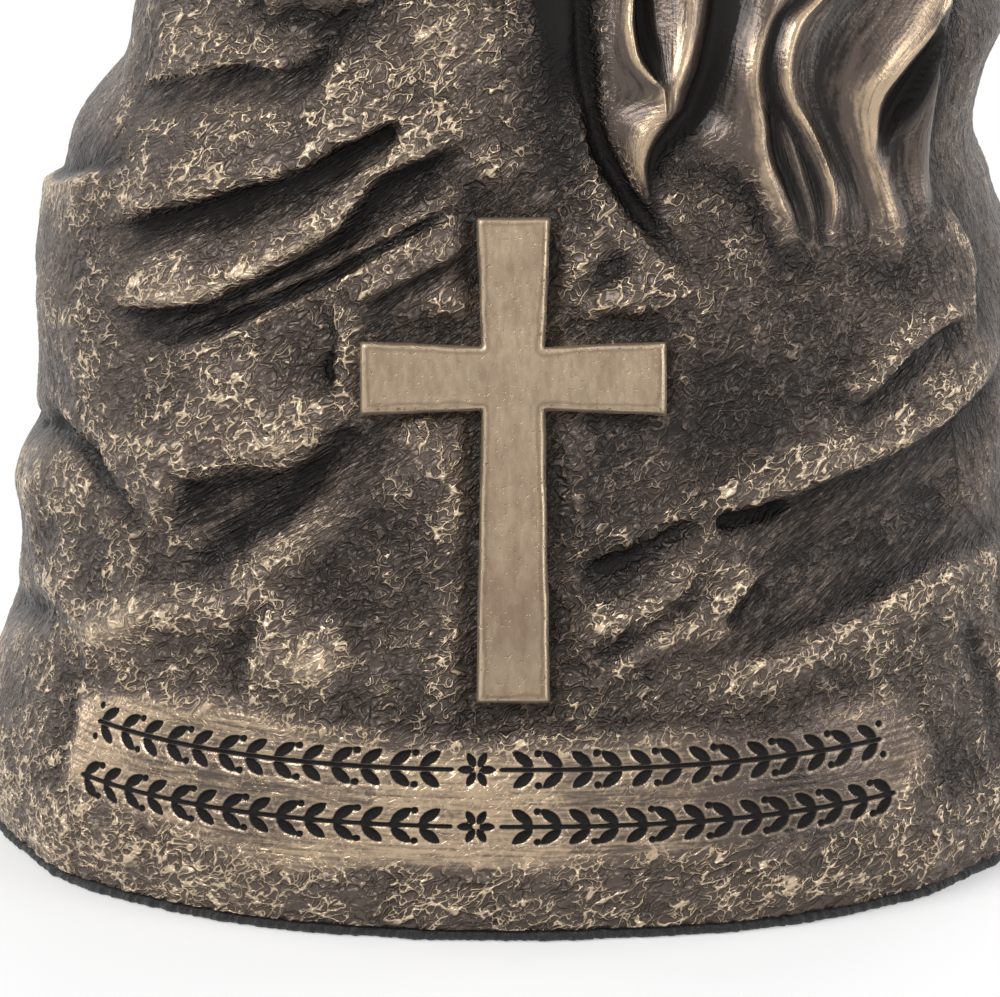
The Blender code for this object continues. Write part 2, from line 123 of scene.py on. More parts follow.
# Band
BAND_PROUD = 0.3
BAND_EDGE = 2.0
BAND_SINK = 1.3
BAND_DIP = 0.8
BAND_WEAR = 0.42
FOOT_WEAR = 0.22
BAND_STEP = 0.25
BAND_ROOT = 2.5
BAND_SPAN = (-60.0, 52.0)
BAND_RISE = (5.0, 29.5)

# Ornament on the band: laurel in two rows, its leaves leaning from both ends to a rosette
ROW_HEIGHTS = (20.5, 14.1)
ROW_SPANS = ((-49.5, 41.5), (-50.5, 42.5))
STEM_WIDTH = 0.26
LEAF_STEP = 3.4
LEAF_LENGTH = 2.9
LEAF_WIDTH = 1.25
LEAF_LEAN = 36.0
LEAF_ROOT = 0.3
BERRY_RADIUS = 0.42
BERRY_OUT = 1.75
ROSETTE_PETALS = 6
ROSETTE_PETAL = (1.9, 0.95)
ROSETTE_EYE = 0.25
GROOVE_DEPTH = 0.45

# Finish
DARK_PATINA = (0.016, 0.0125, 0.0105)
BROWN_BRONZE = (0.098, 0.074, 0.060)
GOLD_BRONZE = (0.62, 0.485, 0.34)
WORN_BRONZE = (0.48, 0.355, 0.235)
GROOVE_BLACK = (0.008, 0.0065, 0.006)
CROSS_DARK = (0.285, 0.212, 0.144)
CROSS_LIGHT = (0.395, 0.303, 0.210)
CROSS_STAIN = (0.19, 0.125, 0.08)
CROSS_DRIP = (0.15, 0.085, 0.052)
CROSS_LOW = (0.20, 0.145, 0.10)
CROSS_PIT = (0.07, 0.048, 0.032)
CROSS_LINE = (0.12, 0.075, 0.045)
CROSS_RIM_HIGHLIGHT = (0.62, 0.50, 0.36)
FELT_DARK = (0.006, 0.006, 0.007)
FELT_LIGHT = (0.03, 0.029, 0.028)
STREAK_TILT = 30.0
GRAIN_SLANT = 0.35
GRAIN_STRETCH = 1.35

# Where the rock's sides are hairy rather than wrinkled: from and to these angles on the right, moved
# by SIDE_LOW_SHIFT at its foot, and on the left; the back has none of it
SIDE_RIGHT = (56.0, 64.0)
SIDE_LOW_SHIFT = (8.0, 10.0)
SIDE_LOW = (46.0, 34.0)
SIDE_LEFT = (-62.0, -78.0)
SIDE_LAST = 110.0

# Wear of the rock and of the cloth, and how far the left side is painted lighter, as painted light from the
# left
ROCK_WEAR = 0.18
CLOTH_WEAR = 0.18
LEFT_PAINTED_LIGHT = 0.08
LEFT_SPAN = (-10.0, -40.0)
FOOT_SPAN = (14.0, 8.0)
FINE_BLUR = 6
BROAD_BLUR = 14

# Half widths of the rock at each height: height, left, right, front, back
ROCK_LEVELS = (
    (0.0, 63.0, 64.0, 59.5, 56.0),
    (6.0, 64.5, 65.5, 60.5, 57.5),
    (16.0, 62.5, 64.0, 60.0, 57.0),
    (24.0, 60.0, 63.0, 58.0, 56.0),
    (38.0, 58.5, 61.5, 54.0, 53.5),
    (54.0, 56.8, 60.5, 49.5, 50.5),
    (68.0, 56.4, 59.5, 45.5, 47.5),
    (76.0, 54.0, 56.5, 43.0, 45.5),
    (82.0, 52.0, 54.5, 41.0, 44.0),
    (90.0, 46.0, 56.0, 38.5, 42.0),
    (97.0, 44.5, 58.5, 36.5, 40.0),
    (106.0, 42.0, 55.0, 33.0, 37.0),
    (116.0, 37.0, 47.0, 29.0, 33.0),
    (124.0, 29.0, 37.0, 23.0, 27.0),
    (129.0, 20.0, 26.0, 16.0, 19.0),
)
ROCK_TOP = ROCK_LEVELS[-1][0]

# Ledges: height, soft width above the lip, steep width below it, and the lip's path.
# The raised side is on the left of the path.
LEDGES = (
    (2.0, 9.0, 2.2, ((-64, 76.5), (-53, 80), (-47, 82), (-41, 84), (-34, 86), (-28, 89), (-23, 91),
                     (-15, 94))),
    (2.2, 6.0, 2.0, ((-60, 67.5), (-52, 69), (-47, 70), (-42.5, 71), (-40, 72.5), (-36, 74.5), (-28, 79),
                     (-25, 82), (-22, 85.5), (-18.5, 87), (-12, 89), (-5, 91))),
    (1.2, 4.5, 1.4, ((-24, 71), (-21.5, 72), (-16, 74.5), (-10, 77), (-4, 79.5))),
    (1.7, 8.0, 4.0, ((-46, 41), (-45.5, 46), (-45, 48.5), (-44, 51), (-40, 52.5), (-36, 54), (-29, 55),
                     (-26, 58), (-24.5, 64))),
    (1.5, 6.0, 1.8, ((-60, 81.5), (-70, 79.5), (-84, 75.5), (-100, 73), (-115, 72))),
    (0.8, 6.0, 1.8, ((-72, 91), (-56, 94.5), (-48, 96.5), (-39, 97), (-30, 101))),
    (0.9, 3.5, 1.2, ((42, 58), (46.5, 60), (51.5, 63), (56.5, 65), (64, 66.5))),
    (1.6, 6.0, 3.0, ((22, 46.5), (29, 48.5), (33.5, 50.5), (40.5, 52.5), (45.5, 53.2), (51.5, 54.5),
                     (56, 55.5), (62, 57.5), (72, 61))),
    (1.1, 4.0, 2.4, ((70, 39), (63.5, 37), (57.5, 37), (50, 36.5), (44, 34.7), (37, 33), (33.5, 32),
                     (29, 30.5), (25.5, 30), (20, 29))),
    (0.9, 3.0, 1.2, ((25.5, 33), (24.5, 36), (25.5, 37.5), (28.5, 40), (30, 41.5))),
    (1.0, 6.0, 2.0, ((62, 62), (65, 68), (67, 72), (65, 79))),
)

# Grooves (negative) and ridges: height, half width and path
STROKES = (
    (-0.9, 2.0, ((-45, 38), (-40, 40), (-36, 43), (-32, 46.5), (-28.5, 49), (-26, 52.5), (-23, 55.5),
                 (-20, 58.5))),
    (1.5, 2.6, ((-64, 29), (-53.5, 30), (-43.5, 34.5), (-35, 36), (-32, 38.5), (-29, 42.5), (-25.5, 45.5),
                (-23, 48), (-20, 50.5), (-14.5, 54))),
    (-1.6, 1.8, ((-104, 45), (-85, 46.5), (-73.5, 49.5), (-65.5, 50), (-59.5, 49), (-56.5, 47.5),
                 (-52, 46), (-47.5, 43), (-45, 40))),
    (1.2, 3.5, ((-104, 38), (-84, 40), (-68, 43), (-58, 41))),
    (-1.5, 2.2, ((-104, 21), (-93, 22), (-72.5, 27), (-64.5, 29), (-58.5, 29), (-55, 27.5))),
    (-0.35, 3.0, ((-57, 28), (-56, 21.5), (-53, 15), (-49, 7))),
    (-0.8, 0.6, ((-27, 70.5), (-25, 67), (-25.5, 64), (-24, 60.5))),
    (0.7, 0.8, ((-52.5, 65), (-45.5, 67), (-37, 71), (-26.5, 75.5), (-14.5, 81), (-2, 85))),
    (0.6, 0.7, ((-51, 62.5), (-42, 65.5), (-33.5, 69.5), (-24.5, 73.5), (-13, 79), (-3, 82))),
    (-0.7, 0.8, ((-52, 63.5), (-44, 66.2), (-35, 70.3), (-25.5, 74.5), (-14, 80), (-2, 83.5))),
    (-1.2, 2.0, ((-31, 84), (-26, 87), (-22, 89), (-17, 90.5))),
    (-1.4, 1.8, ((4, 67), (10, 72), (14, 74.5), (20, 77))),
    (1.0, 3.6, ((8, 68), (14, 70.5), (21, 71))),
    (-1.8, 4.5, ((8, 114), (8.5, 106), (10, 98), (12, 91))),
    (-2.0, 1.8, ((13, 114), (13, 104), (13, 96), (14.5, 89), (18, 83.5), (22, 79), (28, 73))),
    (-1.0, 4.0, ((27, 36), (35, 40.5), (42, 42.5), (50, 44), (62, 48))),
    (1.0, 1.4, ((23, 45), (19, 40.5), (13.5, 38.5), (6.5, 35))),
    (0.8, 1.2, ((22, 42), (17, 38.3), (11, 35.8), (6.5, 33))),
    (0.9, 1.3, ((24.5, 38.5), (19.5, 35.5), (14.5, 33), (7.5, 29.5))),
    (-2.0, 1.2, ((24, 46.2), (27.5, 47), (30.5, 47.5), (35, 48.2))),
    (-1.2, 1.3, ((25, 46.8), (20.5, 46), (16, 44), (11.5, 42.5), (6.5, 41))),
    (1.5, 5.0, ((-32, 33), (-26, 32), (-18, 32))),
    (-0.9, 2.2, ((56, 32), (59, 26), (60, 20), (60, 12))),
    (-0.6, 2.6, ((-40, 94), (-34, 96), (-32, 104), (-31, 112))),
    (-2.4, 4.0, ((100, 88), (120, 72), (140, 62), (160, 46))),
    (-2.2, 4.0, ((-120, 96), (-140, 80), (-156, 70), (-176, 62))),
    (-2.0, 4.0, ((150, 100), (166, 86), (178, 74))),
    (-2.4, 4.5, ((-116, 58), (-132, 44), (-150, 36), (-172, 24))),
    (-2.0, 4.0, ((90, 44), (112, 34), (130, 26), (150, 18))),
    (2.2, 5.0, ((104, 94), (124, 80), (142, 70), (158, 54))),
    (2.2, 5.0, ((-118, 66), (-134, 54), (-152, 46), (-170, 34))),
)

# The cloth that hangs over the rock: outlines of its raised parts
CLOTH_PROUD = 3.2
CLOTH_EDGE = 2.2
CORNER_OUTLINE = (
    (-50, 126), (-47, 106), (-43, 102.5), (-38, 104), (-32, 103), (-27, 105), (-22, 112), (-18, 126),
)
CORNER_FOLDS = (
    (0.8, 3.0, ((-44, 126), (-42, 112), (-42, 104))),
    (-1.0, 2.4, ((-36, 124), (-35, 112), (-36, 104))),
    (0.7, 3.0, ((-28, 126), (-29, 112), (-31, 104))),
)
CLOTH_LEFT = ((129, 17), (104, 17), (100, 16), (91, 16), (88.5, 16.5), (86, 18), (83, 20), (80, 22))
CLOTH_RIGHT = ((129, 68), (101.5, 68), (98.5, 65.5), (95, 64.2), (91, 64.5), (84, 64), (80, 63.5), (75, 62))
CLOTH_ENDS = (
    (16, 80), (21.5, 80.5), (23, 85), (25.5, 86.5), (29, 86.7), (34, 85), (36.5, 82.8), (37.5, 79), (39, 76),
    (45, 74.5), (49, 75), (55, 73.5), (59.5, 74.5), (62.5, 75.5),
)
CLOTH_SIDE = 1.6
CLOTH_MELT = (2.0, 5.0)

# Its folds from left to right: how sharp the fold is, the height over which it dies out below,
# how gold with painted highlight (positive) or dark with dark patina and painted shade it is and over how
# many degrees, and its path from the top down as degrees, height and rise
FOLDS = (
    (0, 2, 0, 1, ((17.1, 129, 0.6), (17.1, 104.4, 0.6), (15.7, 100, 0.6), (15.8, 95.4, 0.6),
        (16, 91.3, 0.6), (16.7, 88.6, 0.6), (18.1, 86.2, 0.6), (19.8, 83.3, 0.6), (21.6, 80.4, 0.3))),
    (1, 5, 1, 0.8, ((20.8, 129, 2.9), (20.8, 104.8, 2.9), (20.1, 102.5, 3), (20, 100.1, 3.1),
        (20.6, 97.9, 3.2), (22.1, 96.4, 3.3), (23.6, 95.4, 3.3))),
    (0, 5, -1.3, 1.1, ((24.3, 129, -0.4), (24.3, 104.2, -0.4), (23.9, 101.1, -0.5), (24.1, 98.2, -0.2),
        (23.8, 95.9, 1.6))),
    (0.2, 5, 0.3, 0.7, ((25.2, 129, 1.2), (25.2, 104.4, 1.2), (24.8, 101.5, 1.2), (24.5, 98.1, 1.7),
        (24.1, 96, 3))),
    (0, 3, 0.5, 1.7, ((30.2, 129, 3), (30.2, 104.7, 3), (28.9, 101.7, 3.1), (27.2, 98.8, 3.2),
        (25.5, 96.2, 3.3), (24, 94.3, 3.3), (21.8, 91.8, 3.3), (19.9, 89.4, 3.1), (19.2, 87.1, 2.7),
        (19.6, 84.9, 2.1), (20.4, 82.7, 1.2))),
    (0, 2, -1.3, 2.2, ((37.4, 129, -0.6), (37.4, 103.7, -0.6), (35.6, 100.7, -0.8), (34.2, 97.7, -1.2),
        (32, 94.2, -1.5), (29.8, 91.6, -1.6), (27.4, 89.8, -1.4), (25.1, 88.4, -1.2),
        (23.3, 86.6, -0.8), (22.3, 83.3, -0.4), (22.1, 80.8, 0))),
    (0.2, 4, 0.35, 1.5, ((43.2, 129, 2.0), (43.2, 104, 2.0), (41.6, 102.5, 2.2), (39.8, 100.4, 2.3),
        (38.2, 98, 2.4), (37.2, 95.2, 2.4), (37.2, 92.6, 2.4), (37.5, 90.5, 2.4), (37.3, 88.2, 2.4),
        (37.6, 85.7, 2.2), (39, 82.4, 1.8), (40.1, 79, 1.4), (40.8, 75.9, 0.8))),
    (0, 4, -0.6, 1.1, ((40.6, 90.4, 0.6), (40.7, 87.6, 0.3), (41.2, 85.1, 0.3), (42, 81.9, 0.4),
        (42.3, 78.7, 0.5))),
    (0.2, 4, 0.2, 0.8, ((41.5, 89.5, 1.2), (41.8, 87.3, 1.5), (42.4, 83.9, 1.5), (43, 80.4, 1.3),
        (43.4, 77, 0.8))),
    (0, 4, -1, 1.1, ((47.4, 129, 1), (47.4, 103.8, 1), (44.4, 102.2, 1), (42.2, 99.9, 1), (40.9, 97.5, 0.9),
        (40.4, 95, 0.8), (41, 92.7, 0.8), (42.4, 90.1, 0.8), (43.4, 88.4, 0.8), (44.4, 86.2, 0.8),
        (45.3, 82.9, 0.7), (45.4, 80, 0.6), (44.8, 77.6, 0.4))),
    (1, 3, 1.1, 0.8, ((48.5, 129, 2.8), (48.5, 103.8, 2.8), (45.5, 102.2, 2.9), (43.3, 99.9, 2.9),
        (41.9, 97.5, 2.9), (41.4, 95, 2.9), (42, 92.7, 2.8), (43.5, 90.1, 2.7), (44.7, 87.3, 2.6),
        (45.7, 84.7, 2.4), (46.4, 82.3, 2.1), (46.2, 80.2, 1.8), (45.5, 77.7, 1))),
    (0, 3, -0.3, 2.4, ((53.5, 129, 1.2), (53.5, 103.2, 1.2), (49.6, 100.4, 1.2), (47.1, 97.5, 1.1),
        (46.3, 94.4, 1), (46.9, 91.1, 0.9), (48.3, 87.7, 0.8), (49.6, 84.4, 0.8), (50.2, 81.1, 0.7),
        (49.7, 77.9, 0.6), (49.1, 75.2, 0.5))),
    (0.2, 3, 0.55, 2.4, ((63.2, 129, 3.1), (63.2, 102.4, 3.1), (60.7, 100.5, 3.2), (57.4, 98.4, 3.4),
        (54.5, 96.2, 3.5), (52.1, 93.5, 3.5), (51.3, 91, 3.3), (51.3, 88.7, 3.1), (51.9, 86.2, 2.8),
        (53.4, 82.8, 2.5), (54.4, 79.4, 2.1), (54.8, 76.4, 1.5), (54.9, 73, 0.7))),
    (0.5, 4, 0.7, 0.8, ((65.5, 129, 3), (65.5, 102, 3), (63.4, 100.4, 3.2), (60.2, 98.4, 3.3),
        (57.3, 96.5, 3.4), (55, 94.5, 3.4), (53.6, 93, 3.3), (52.8, 91.1, 3.1), (52.7, 88.9, 2.8))),
    (0, 4, -1.4, 1.5, ((63.6, 98.8, 2.2), (63.3, 97.2, 1.2), (62.1, 95.1, 0.4), (60.7, 92.4, -0.2),
        (59, 90.2, -0.2), (56.8, 88.3, 0.6), (54.9, 87, 1.8))),
    (0.9, 5, 0.7, 0.7, ((64.3, 98.3, 2.2), (62.9, 96.6, 2.2), (61.3, 94, 2.3), (59.5, 91.6, 2.4),
        (57.9, 89.3, 2.4), (56.4, 87.4, 2.4), (55.1, 86.3, 2.4))),
    (0, 4, -0.3, 1.5, ((56.3, 86.2, 1.8), (56.5, 83.5, 1.4), (56.8, 80.8, 1.2), (57.4, 78.2, 1),
        (57.5, 75.7, 0.8))),
    (0.1, 4, 0, 1, ((63.7, 95.3, 2), (62.8, 92.6, 2.1), (61.4, 89.5, 2.3), (60.2, 86.4, 2.4),
        (60, 82.9, 2.3), (59.8, 79.4, 1.9), (59.5, 76.2, 1.2))),
    (0.2, 3, 0.25, 0.9, ((67.9, 129, 1.8), (67.9, 101.5, 1.8), (65.5, 98.5, 1.8), (64.4, 95.1, 1.7),
        (64.4, 91.6, 1.7), (64.4, 87.9, 1.6), (64.1, 83.6, 1.5), (63.8, 80.7, 1.3), (63.5, 77.7, 0.9),
        (62.9, 75, 0.4))),
)

# The worn band: outline on the unrolled rock
BAND_OUTLINE = (
    (-54, 22.5), (-43, 24.5), (-30, 26), (-21, 24.5), (-13, 23.5), (-3, 22.5), (5, 23),
    (14, 24), (28, 23.5), (34, 25), (44, 25), (48, 18), (43, 12), (37, 11.5), (29, 11),
    (20, 10), (9, 9.5), (-4, 9), (-12, 9.5), (-24, 8), (-31, 9.5), (-43, 11.5), (-53, 13),
)

# Rubbed gold and painted highlight (positive), or dark patina and painted shade (negative): strength, angle,
# height and the half sizes of the spot
GOLD_AND_SHADE_SPOTS = (
    (0.42, -23, 31.5, 4.5, 2.6),
    (0.16, -32, 58, 9, 5),
    (0.24, -52, 30.5, 11, 5),
    (0.36, -11, 99, 8, 5.5),
    (0.14, -56, 98, 8, 7),
    (0.12, 28, 40, 8, 5),
    (0.08, 40, 31, 16, 3),
    (-1.5, 8.5, 114, 6, 20),
    (-0.22, 16, 58, 9, 6),
    (-0.18, 32, 60, 12, 8),
    (-0.16, 9, 47, 6, 12),
    (0.16, 13, 67, 5, 3.5),
    (0.10, 44, 52, 12, 3),
    (-0.30, -30, 86, 9, 3.5),
)

# The figure stands on the rock's top. Its joints are x, y and z from there, and a radius.
FIGURE_AT = (4.0, 0.0, ROCK_TOP)
HAND_BOX = ((-60, -32, 104), (70, 46, 206))
BABY_BOX = ((-44, -31, 134), (46, 26, 188))
BLANKET_BOX = ((-38, -40, 98), (56, 22, 176))
HAND_STEP = 0.72
BABY_STEP = 0.42
BLANKET_STEP = 0.72
FAR = 12.0
CHAIN_STEPS = 4
FINGER_STEPS = 5
FIGURE_GRAIN = (0.7, 0.7, 0.3)
BEND_REACH = 2.2
BEND_FULL = 0.35
HOLLOW_REACHES = (1.2, 2.5, 4.5)
PROUD_REACHES = (2.0, 3.2, 6.0)
FIGURE_SLEEK = 0.35

# How widely the figure's parts melt into each other
PALM_EASE = 5.0
THUMB_EASE = 4.0
FINGER_EASE = 1.6
KNUCKLE_EASE = 1.5
CREASE_EASE = 0.9
BODY_EASE = 3.0
NECK_EASE = 1.4
ARM_EASE = 0.6
LAP_EASE = 4.0
WRAP_EASE = 3.6
SWEEP_EASE = 3.0

# Plain wear of the hands, baby and blanket, and the wear that is rubbed onto their bends
HAND_WEAR = (0.30, 0.4)
BABY_WEAR = (0.34, 0.12)
BLANKET_WEAR = (0.30, 0.8)

# Right hand, mirrored for the left: wrist and palm
PALM_CHAINS = (
    ((2, -2, -21, 16), (10, -2, 1, 14)),
    ((11, 2, -19, 14), (9, 6, 3, 12), (7.5, 22, 23, 7)),
    ((14, 2, -11, 13), (15, 8, 5, 11.5), (19.5, 26, 27, 7.5)),
    ((17, 2, -11, 13), (23, 7, 5, 11.5), (32, 25, 28, 7.6)),
    ((19, 1, -11, 13), (30, 3, 7, 11), (43.5, 18, 26, 7.4)),
)

# Little, ring, middle and index fingers, then the thumb
FINGER_CHAINS = (
    ((7.5, 22, 23, 7), (7, 30, 37, 6.3), (6.5, 28, 48, 5.8), (6.5, 21, 54, 5.1)),
    ((19.5, 26, 27, 7.4), (20, 35, 42, 6.7), (20, 33, 56, 6.2), (19.5, 25, 64, 5.4)),
    ((32, 25, 28, 7.5), (33.5, 34, 44, 6.8), (34, 32, 59, 6.3), (33, 23.5, 68, 5.5)),
    ((43.5, 18, 26, 7.3), (46.5, 26, 42, 6.6), (47, 24, 55, 6.1), (45.5, 16, 62, 5.3)),
    ((20, -2, 1, 13), (39, -9, 13, 10), (49.5, -9, 26, 7.9), (50, -4, 39, 6.4)),
)

# The baby, curled on its side
HEAD_AT = (-25.0, -4.5, 37.0)
HEAD_SCALE = 1.3
HEAD_UP = (-0.74, 0.06, 0.62)
HEAD_FACE = (0.26, -0.92, 0.30)
BODY_CHAINS = (
    ((-21, -2, 29, 8.5), (-14, 2, 27, 10.5), (-2, 6, 24.5, 12.5), (8, 7, 23, 13.5), (20, 5, 22, 13.5)),
    ((20, 2, 22, 12.5), (7, -10, 19, 9.2)),
    ((7, -10, 19, 9), (21, -14.5, 15, 6.6)),
)
ARM_CHAINS = (
    ((-10, -4, 28, 7.4), (0.5, -14.5, 23.5, 5.4), (-7.5, -18.8, 24, 4.2), (-11.5, -19.6, 24.8, 3.7)),
)
SMALL_PALM = ((-14.0, -20.0, 25.8, 3.5), (-16.5, -20.2, 27.2, 3.2))
SMALL_FINGERS = ((-4.6, -0.6), (-3.9, 1.3), (-2.9, 3.0), (-1.6, 4.4))
FOOT_CHAINS = (
    ((17, -13, 22, 5.0), (23, -19.5, 22.4, 4.5), (27.5, -20.8, 22, 3.1), (31, -21.2, 21.6, 3.7)),
    ((14.5, -16, 13, 5.0), (20.5, -22.6, 13, 4.4), (25, -24.4, 12.4, 3.0), (28.5, -24.8, 11.8, 3.6)),
)
TOES = ((3.2, 3.6, 1.9), (3.9, 1.3, 1.3), (3.6, -0.7, 1.2), (3.0, -2.4, 1.1), (2.2, -3.8, 1.0))

# The cloth over the baby's legs and down to the rock
LAP_CHAINS = (
    ((-1, 1, 20, 12.5), (8, 0, 20.5, 13.8), (20, 1, 21.5, 14.6), (30, 2, 20, 11)),
    ((4, -9, 19, 9.5), (16, -11, 17, 10), (28, -7, 17, 9)),
)
WRAP_CHAINS = (
    ((-20, -6, 19, 8), (-25, -16, 2, 6), (-28, -20, -16, 3.5)),
    ((-14, -10, 17, 8), (-17, -20, -1, 5), (-21, -24, -18, 2.5)),
    ((-8, -12, 16, 9), (-9, -20, 0, 6.5), (-13, -25, -16, 3.5)),
    ((0, -14, 14, 9), (-1, -22, -3, 6), (-3, -26, -16, 3)),
    ((6, -14, 14, 9), (7, -22.5, -1, 7.5), (7, -27, -21, 3.2)),
    ((13, -15, 13, 8.5), (15, -24, -3, 6), (14.5, -27.5, -22, 3.2)),
    ((21, -13, 14, 9), (23, -22, -1, 8), (22, -25.5, -22, 4)),
    ((29, -9, 16, 9), (33, -16, -1, 7), (33, -18, -22, 4)),
)

# Folds that sweep over it from the hip to the hem, and its rolled upper edge
SWEEP_CHAINS = (
    ((-3, 12, 31, 2.2), (-2.5, 3, 33.8, 2.6), (-4.5, -6, 30, 2.8), (-9, -14.5, 23, 2.8), (-17, -16, 21, 2.6)),
    ((18, 10, 36.5, 1.2), (7, 0, 35.8, 2.0), (-4, -12.5, 28, 2.3), (-12, -20.5, 12, 2.3),
     (-18, -22, -9, 1.2)),
    ((26, 5, 35.5, 1.2), (14, -7.5, 33.2, 2.0), (3, -19, 21, 2.4), (-4, -27, 4, 2.4), (-7, -26, -13, 1.2)),
    ((30, -2, 32, 1.2), (20, -14.5, 25.5, 1.9), (11, -24.5, 12, 2.4), (7, -30, -4, 2.3), (9, -27, -17, 1.2)),
    ((33, -8, 24, 1.2), (27, -16.5, 17, 1.9), (21, -25, 6, 2.3), (20, -30, -8, 2.0), (24, -26.5, -19, 1.2)),
)


def blend(start, end, value):
    """Smooth step from 0 at start to 1 at end."""
    share = np.clip((value - start) / (end - start), 0.0, 1.0)
    return share * share * (3.0 - 2.0 * share)


def curve_value(spots, values, at):
    """A smooth curve through values at rising spots."""
    slopes = np.gradient(values, spots)
    at = np.clip(at, spots[0], spots[-1])
    row = np.clip(np.searchsorted(spots, at, side="right") - 1, 0, len(spots) - 2)
    gap = spots[row + 1] - spots[row]
    t = (at - spots[row]) / gap
    start = (2 * t**3 - 3 * t**2 + 1) * values[row] + (t**3 - 2 * t**2 + t) * gap * slopes[row]
    end = (3 * t**2 - 2 * t**3) * values[row + 1] + (t**3 - t**2) * gap * slopes[row + 1]
    return start + end


def level_value(height, column):
    """One column of ROCK_LEVELS at any height."""
    rows = np.array(ROCK_LEVELS)
    return curve_value(rows[:, 0], rows[:, column], height)


def plain_radius(angle, height):
    """Distance from the axis to the rock's plain form, without its relief."""
    along, across = np.cos(np.radians(angle)), np.sin(np.radians(angle))
    side = np.where(across < 0, level_value(height, 1), level_value(height, 2))
    depth = np.where(along > 0, level_value(height, 3), level_value(height, 4))
    power = SECTION_POWER
    return ((np.abs(across) / side) ** power + (np.abs(along) / depth) ** power) ** (-1 / power)


def smooth_path(points, steps):
    """Points of a smooth curve through a path's or chain's own points, with steps to each."""
    given = [np.array(point, float) for point in points]
    ends = [given[0] * 2 - given[1], *given, given[-1] * 2 - given[-2]]
    made = []
    for before, start, end, after in zip(ends, ends[1:], ends[2:], ends[3:]):
        for step in range(steps):
            t = step / steps
            made.append(
                0.5 * (2 * start + (end - before) * t
                       + (2 * before - 5 * start + 4 * end - after) * t**2
                       + (3 * start - before - 3 * end + after) * t**3)
            )
    return np.array([*made, given[-1]])


def path_distance(path, angle, height):
    """Distance to a path, side of it (positive on its left) and share of its length passed."""
    nearest = np.full(angle.shape, np.inf)
    side = np.ones(angle.shape)
    share = np.zeros(angle.shape)
    lengths = np.linalg.norm(np.diff(path, axis=0), axis=1)
    passed = np.concatenate([[0.0], np.cumsum(lengths)])
    for start, end, length, before in zip(path, path[1:], lengths, passed):
        run = (end - start) / length
        da, dh = angle - start[0], height - start[1]
        t = np.clip(da * run[0] + dh * run[1], 0.0, length)
        off = np.hypot(da - t * run[0], dh - t * run[1])
        closer = off < nearest
        nearest = np.where(closer, off, nearest)
        side = np.where(closer, np.sign(run[0] * dh - run[1] * da), side)
        share = np.where(closer, (before + t) / passed[-1], share)
    return nearest, side, share


def near_path(profile, points, angle, height, *sizes):
    """A path's relief, worked out only where the path is near."""
    path = smooth_path(points, PATH_STEPS)
    low, high = path.min(axis=0) - PATH_REACH, path.max(axis=0) + PATH_REACH
    near = (angle > low[0]) & (angle < high[0]) & (height > low[1]) & (height < high[1])
    relief = np.zeros(angle.shape)
    relief[near] = profile(*path_distance(path, angle[near], height[near]), *sizes)
    return relief


def fade_ends(share, span):
    """Fade towards both ends of a path, each over a share of its length."""
    return blend(0.0, span, share) * blend(1.0, 1.0 - span, share)


def ledge_profile(distance, side, share, rise, soft, steep, span):
    """Soft rise to the lip, a steep face below it and a hollow that runs out."""
    above = np.exp(-((distance / soft) ** 2))
    face = (1 + LEDGE_HOLLOW) * (1 - blend(0.0, steep, distance)) - LEDGE_HOLLOW
    below = face * np.exp(-((distance / (LEDGE_RUN * steep)) ** 2))
    return rise * np.where(side > 0, above, below) * fade_ends(share, span)


def slope_profile(distance, side, share, steep, span):
    """Share of a ledge's smooth lower face."""
    face = blend(0.2, 0.9, distance / steep) * blend(3.6, 2.0, distance / steep)
    return face * (side < 0) * fade_ends(share, span)


def stroke_profile(distance, side, share, rise, width, span):
    return rise * np.exp(-((distance / width) ** 2)) * fade_ends(share, span)


def inside_distance(outline, angle, height):
    """Distance to a closed outline, positive inside it."""
    corners = np.array([*outline, outline[0]], float)
    distance, _, _ = path_distance(corners, angle, height)
    within = np.zeros(angle.shape, bool)
    for (a0, h0), (a1, h1) in zip(corners, corners[1:]):
        if h0 == h1:
            continue
        crosses = (h0 > height) != (h1 > height)
        within ^= crosses & (angle < a0 + (height - h0) * (a1 - a0) / (h1 - h0))
    return np.where(within, distance, -distance)


def lump_relief(angle, height):
    """Uneven lumps all over the rock."""
    radius, turned = plain_radius(angle, height), np.radians(angle)
    places = np.stack([radius * np.sin(turned), -radius * np.cos(turned), height], axis=-1)
    relief = np.zeros(angle.size)
    for rise, size in LUMPS:
        relief += rise * np.array([noise.noise(Vector(p) / size) for p in places.reshape(-1, 3)])
    return relief.reshape(angle.shape)


def cross_tilt():
    """Lean of the rock's front face behind the cross, in radians from upright."""
    top = CROSS_FOOT + CROSS_HEIGHT
    low, high = plain_radius(np.zeros(2), np.array([CROSS_FOOT, top]))
    return math.atan2(low - high, CROSS_HEIGHT)


def recess_radius(angle, height):
    """Radius of the flat recess behind the cross."""
    tilt = cross_tilt()
    middle = CROSS_FOOT + CROSS_HEIGHT / 2
    face = float(plain_radius(np.zeros(1), np.array([middle]))[0]) - RECESS_DEPTH
    reach = face * math.cos(tilt) + middle * math.sin(tilt)
    return (reach - height * math.sin(tilt)) / (np.cos(np.radians(angle)) * math.cos(tilt))


def cross_distance(x, height):
    """Distance outside the cross's outline, seen from the front."""
    middle = CROSS_FOOT + CROSS_HEIGHT / 2
    arm = CROSS_FOOT + CROSS_HEIGHT - CROSS_ARM_DROP
    post = np.maximum(np.abs(x) - CROSS_BAR / 2, np.abs(height - middle) - CROSS_HEIGHT / 2)
    bar = np.maximum(np.abs(x) - CROSS_SPAN / 2, np.abs(height - arm) - CROSS_BAR / 2)
    return np.minimum(post, bar)


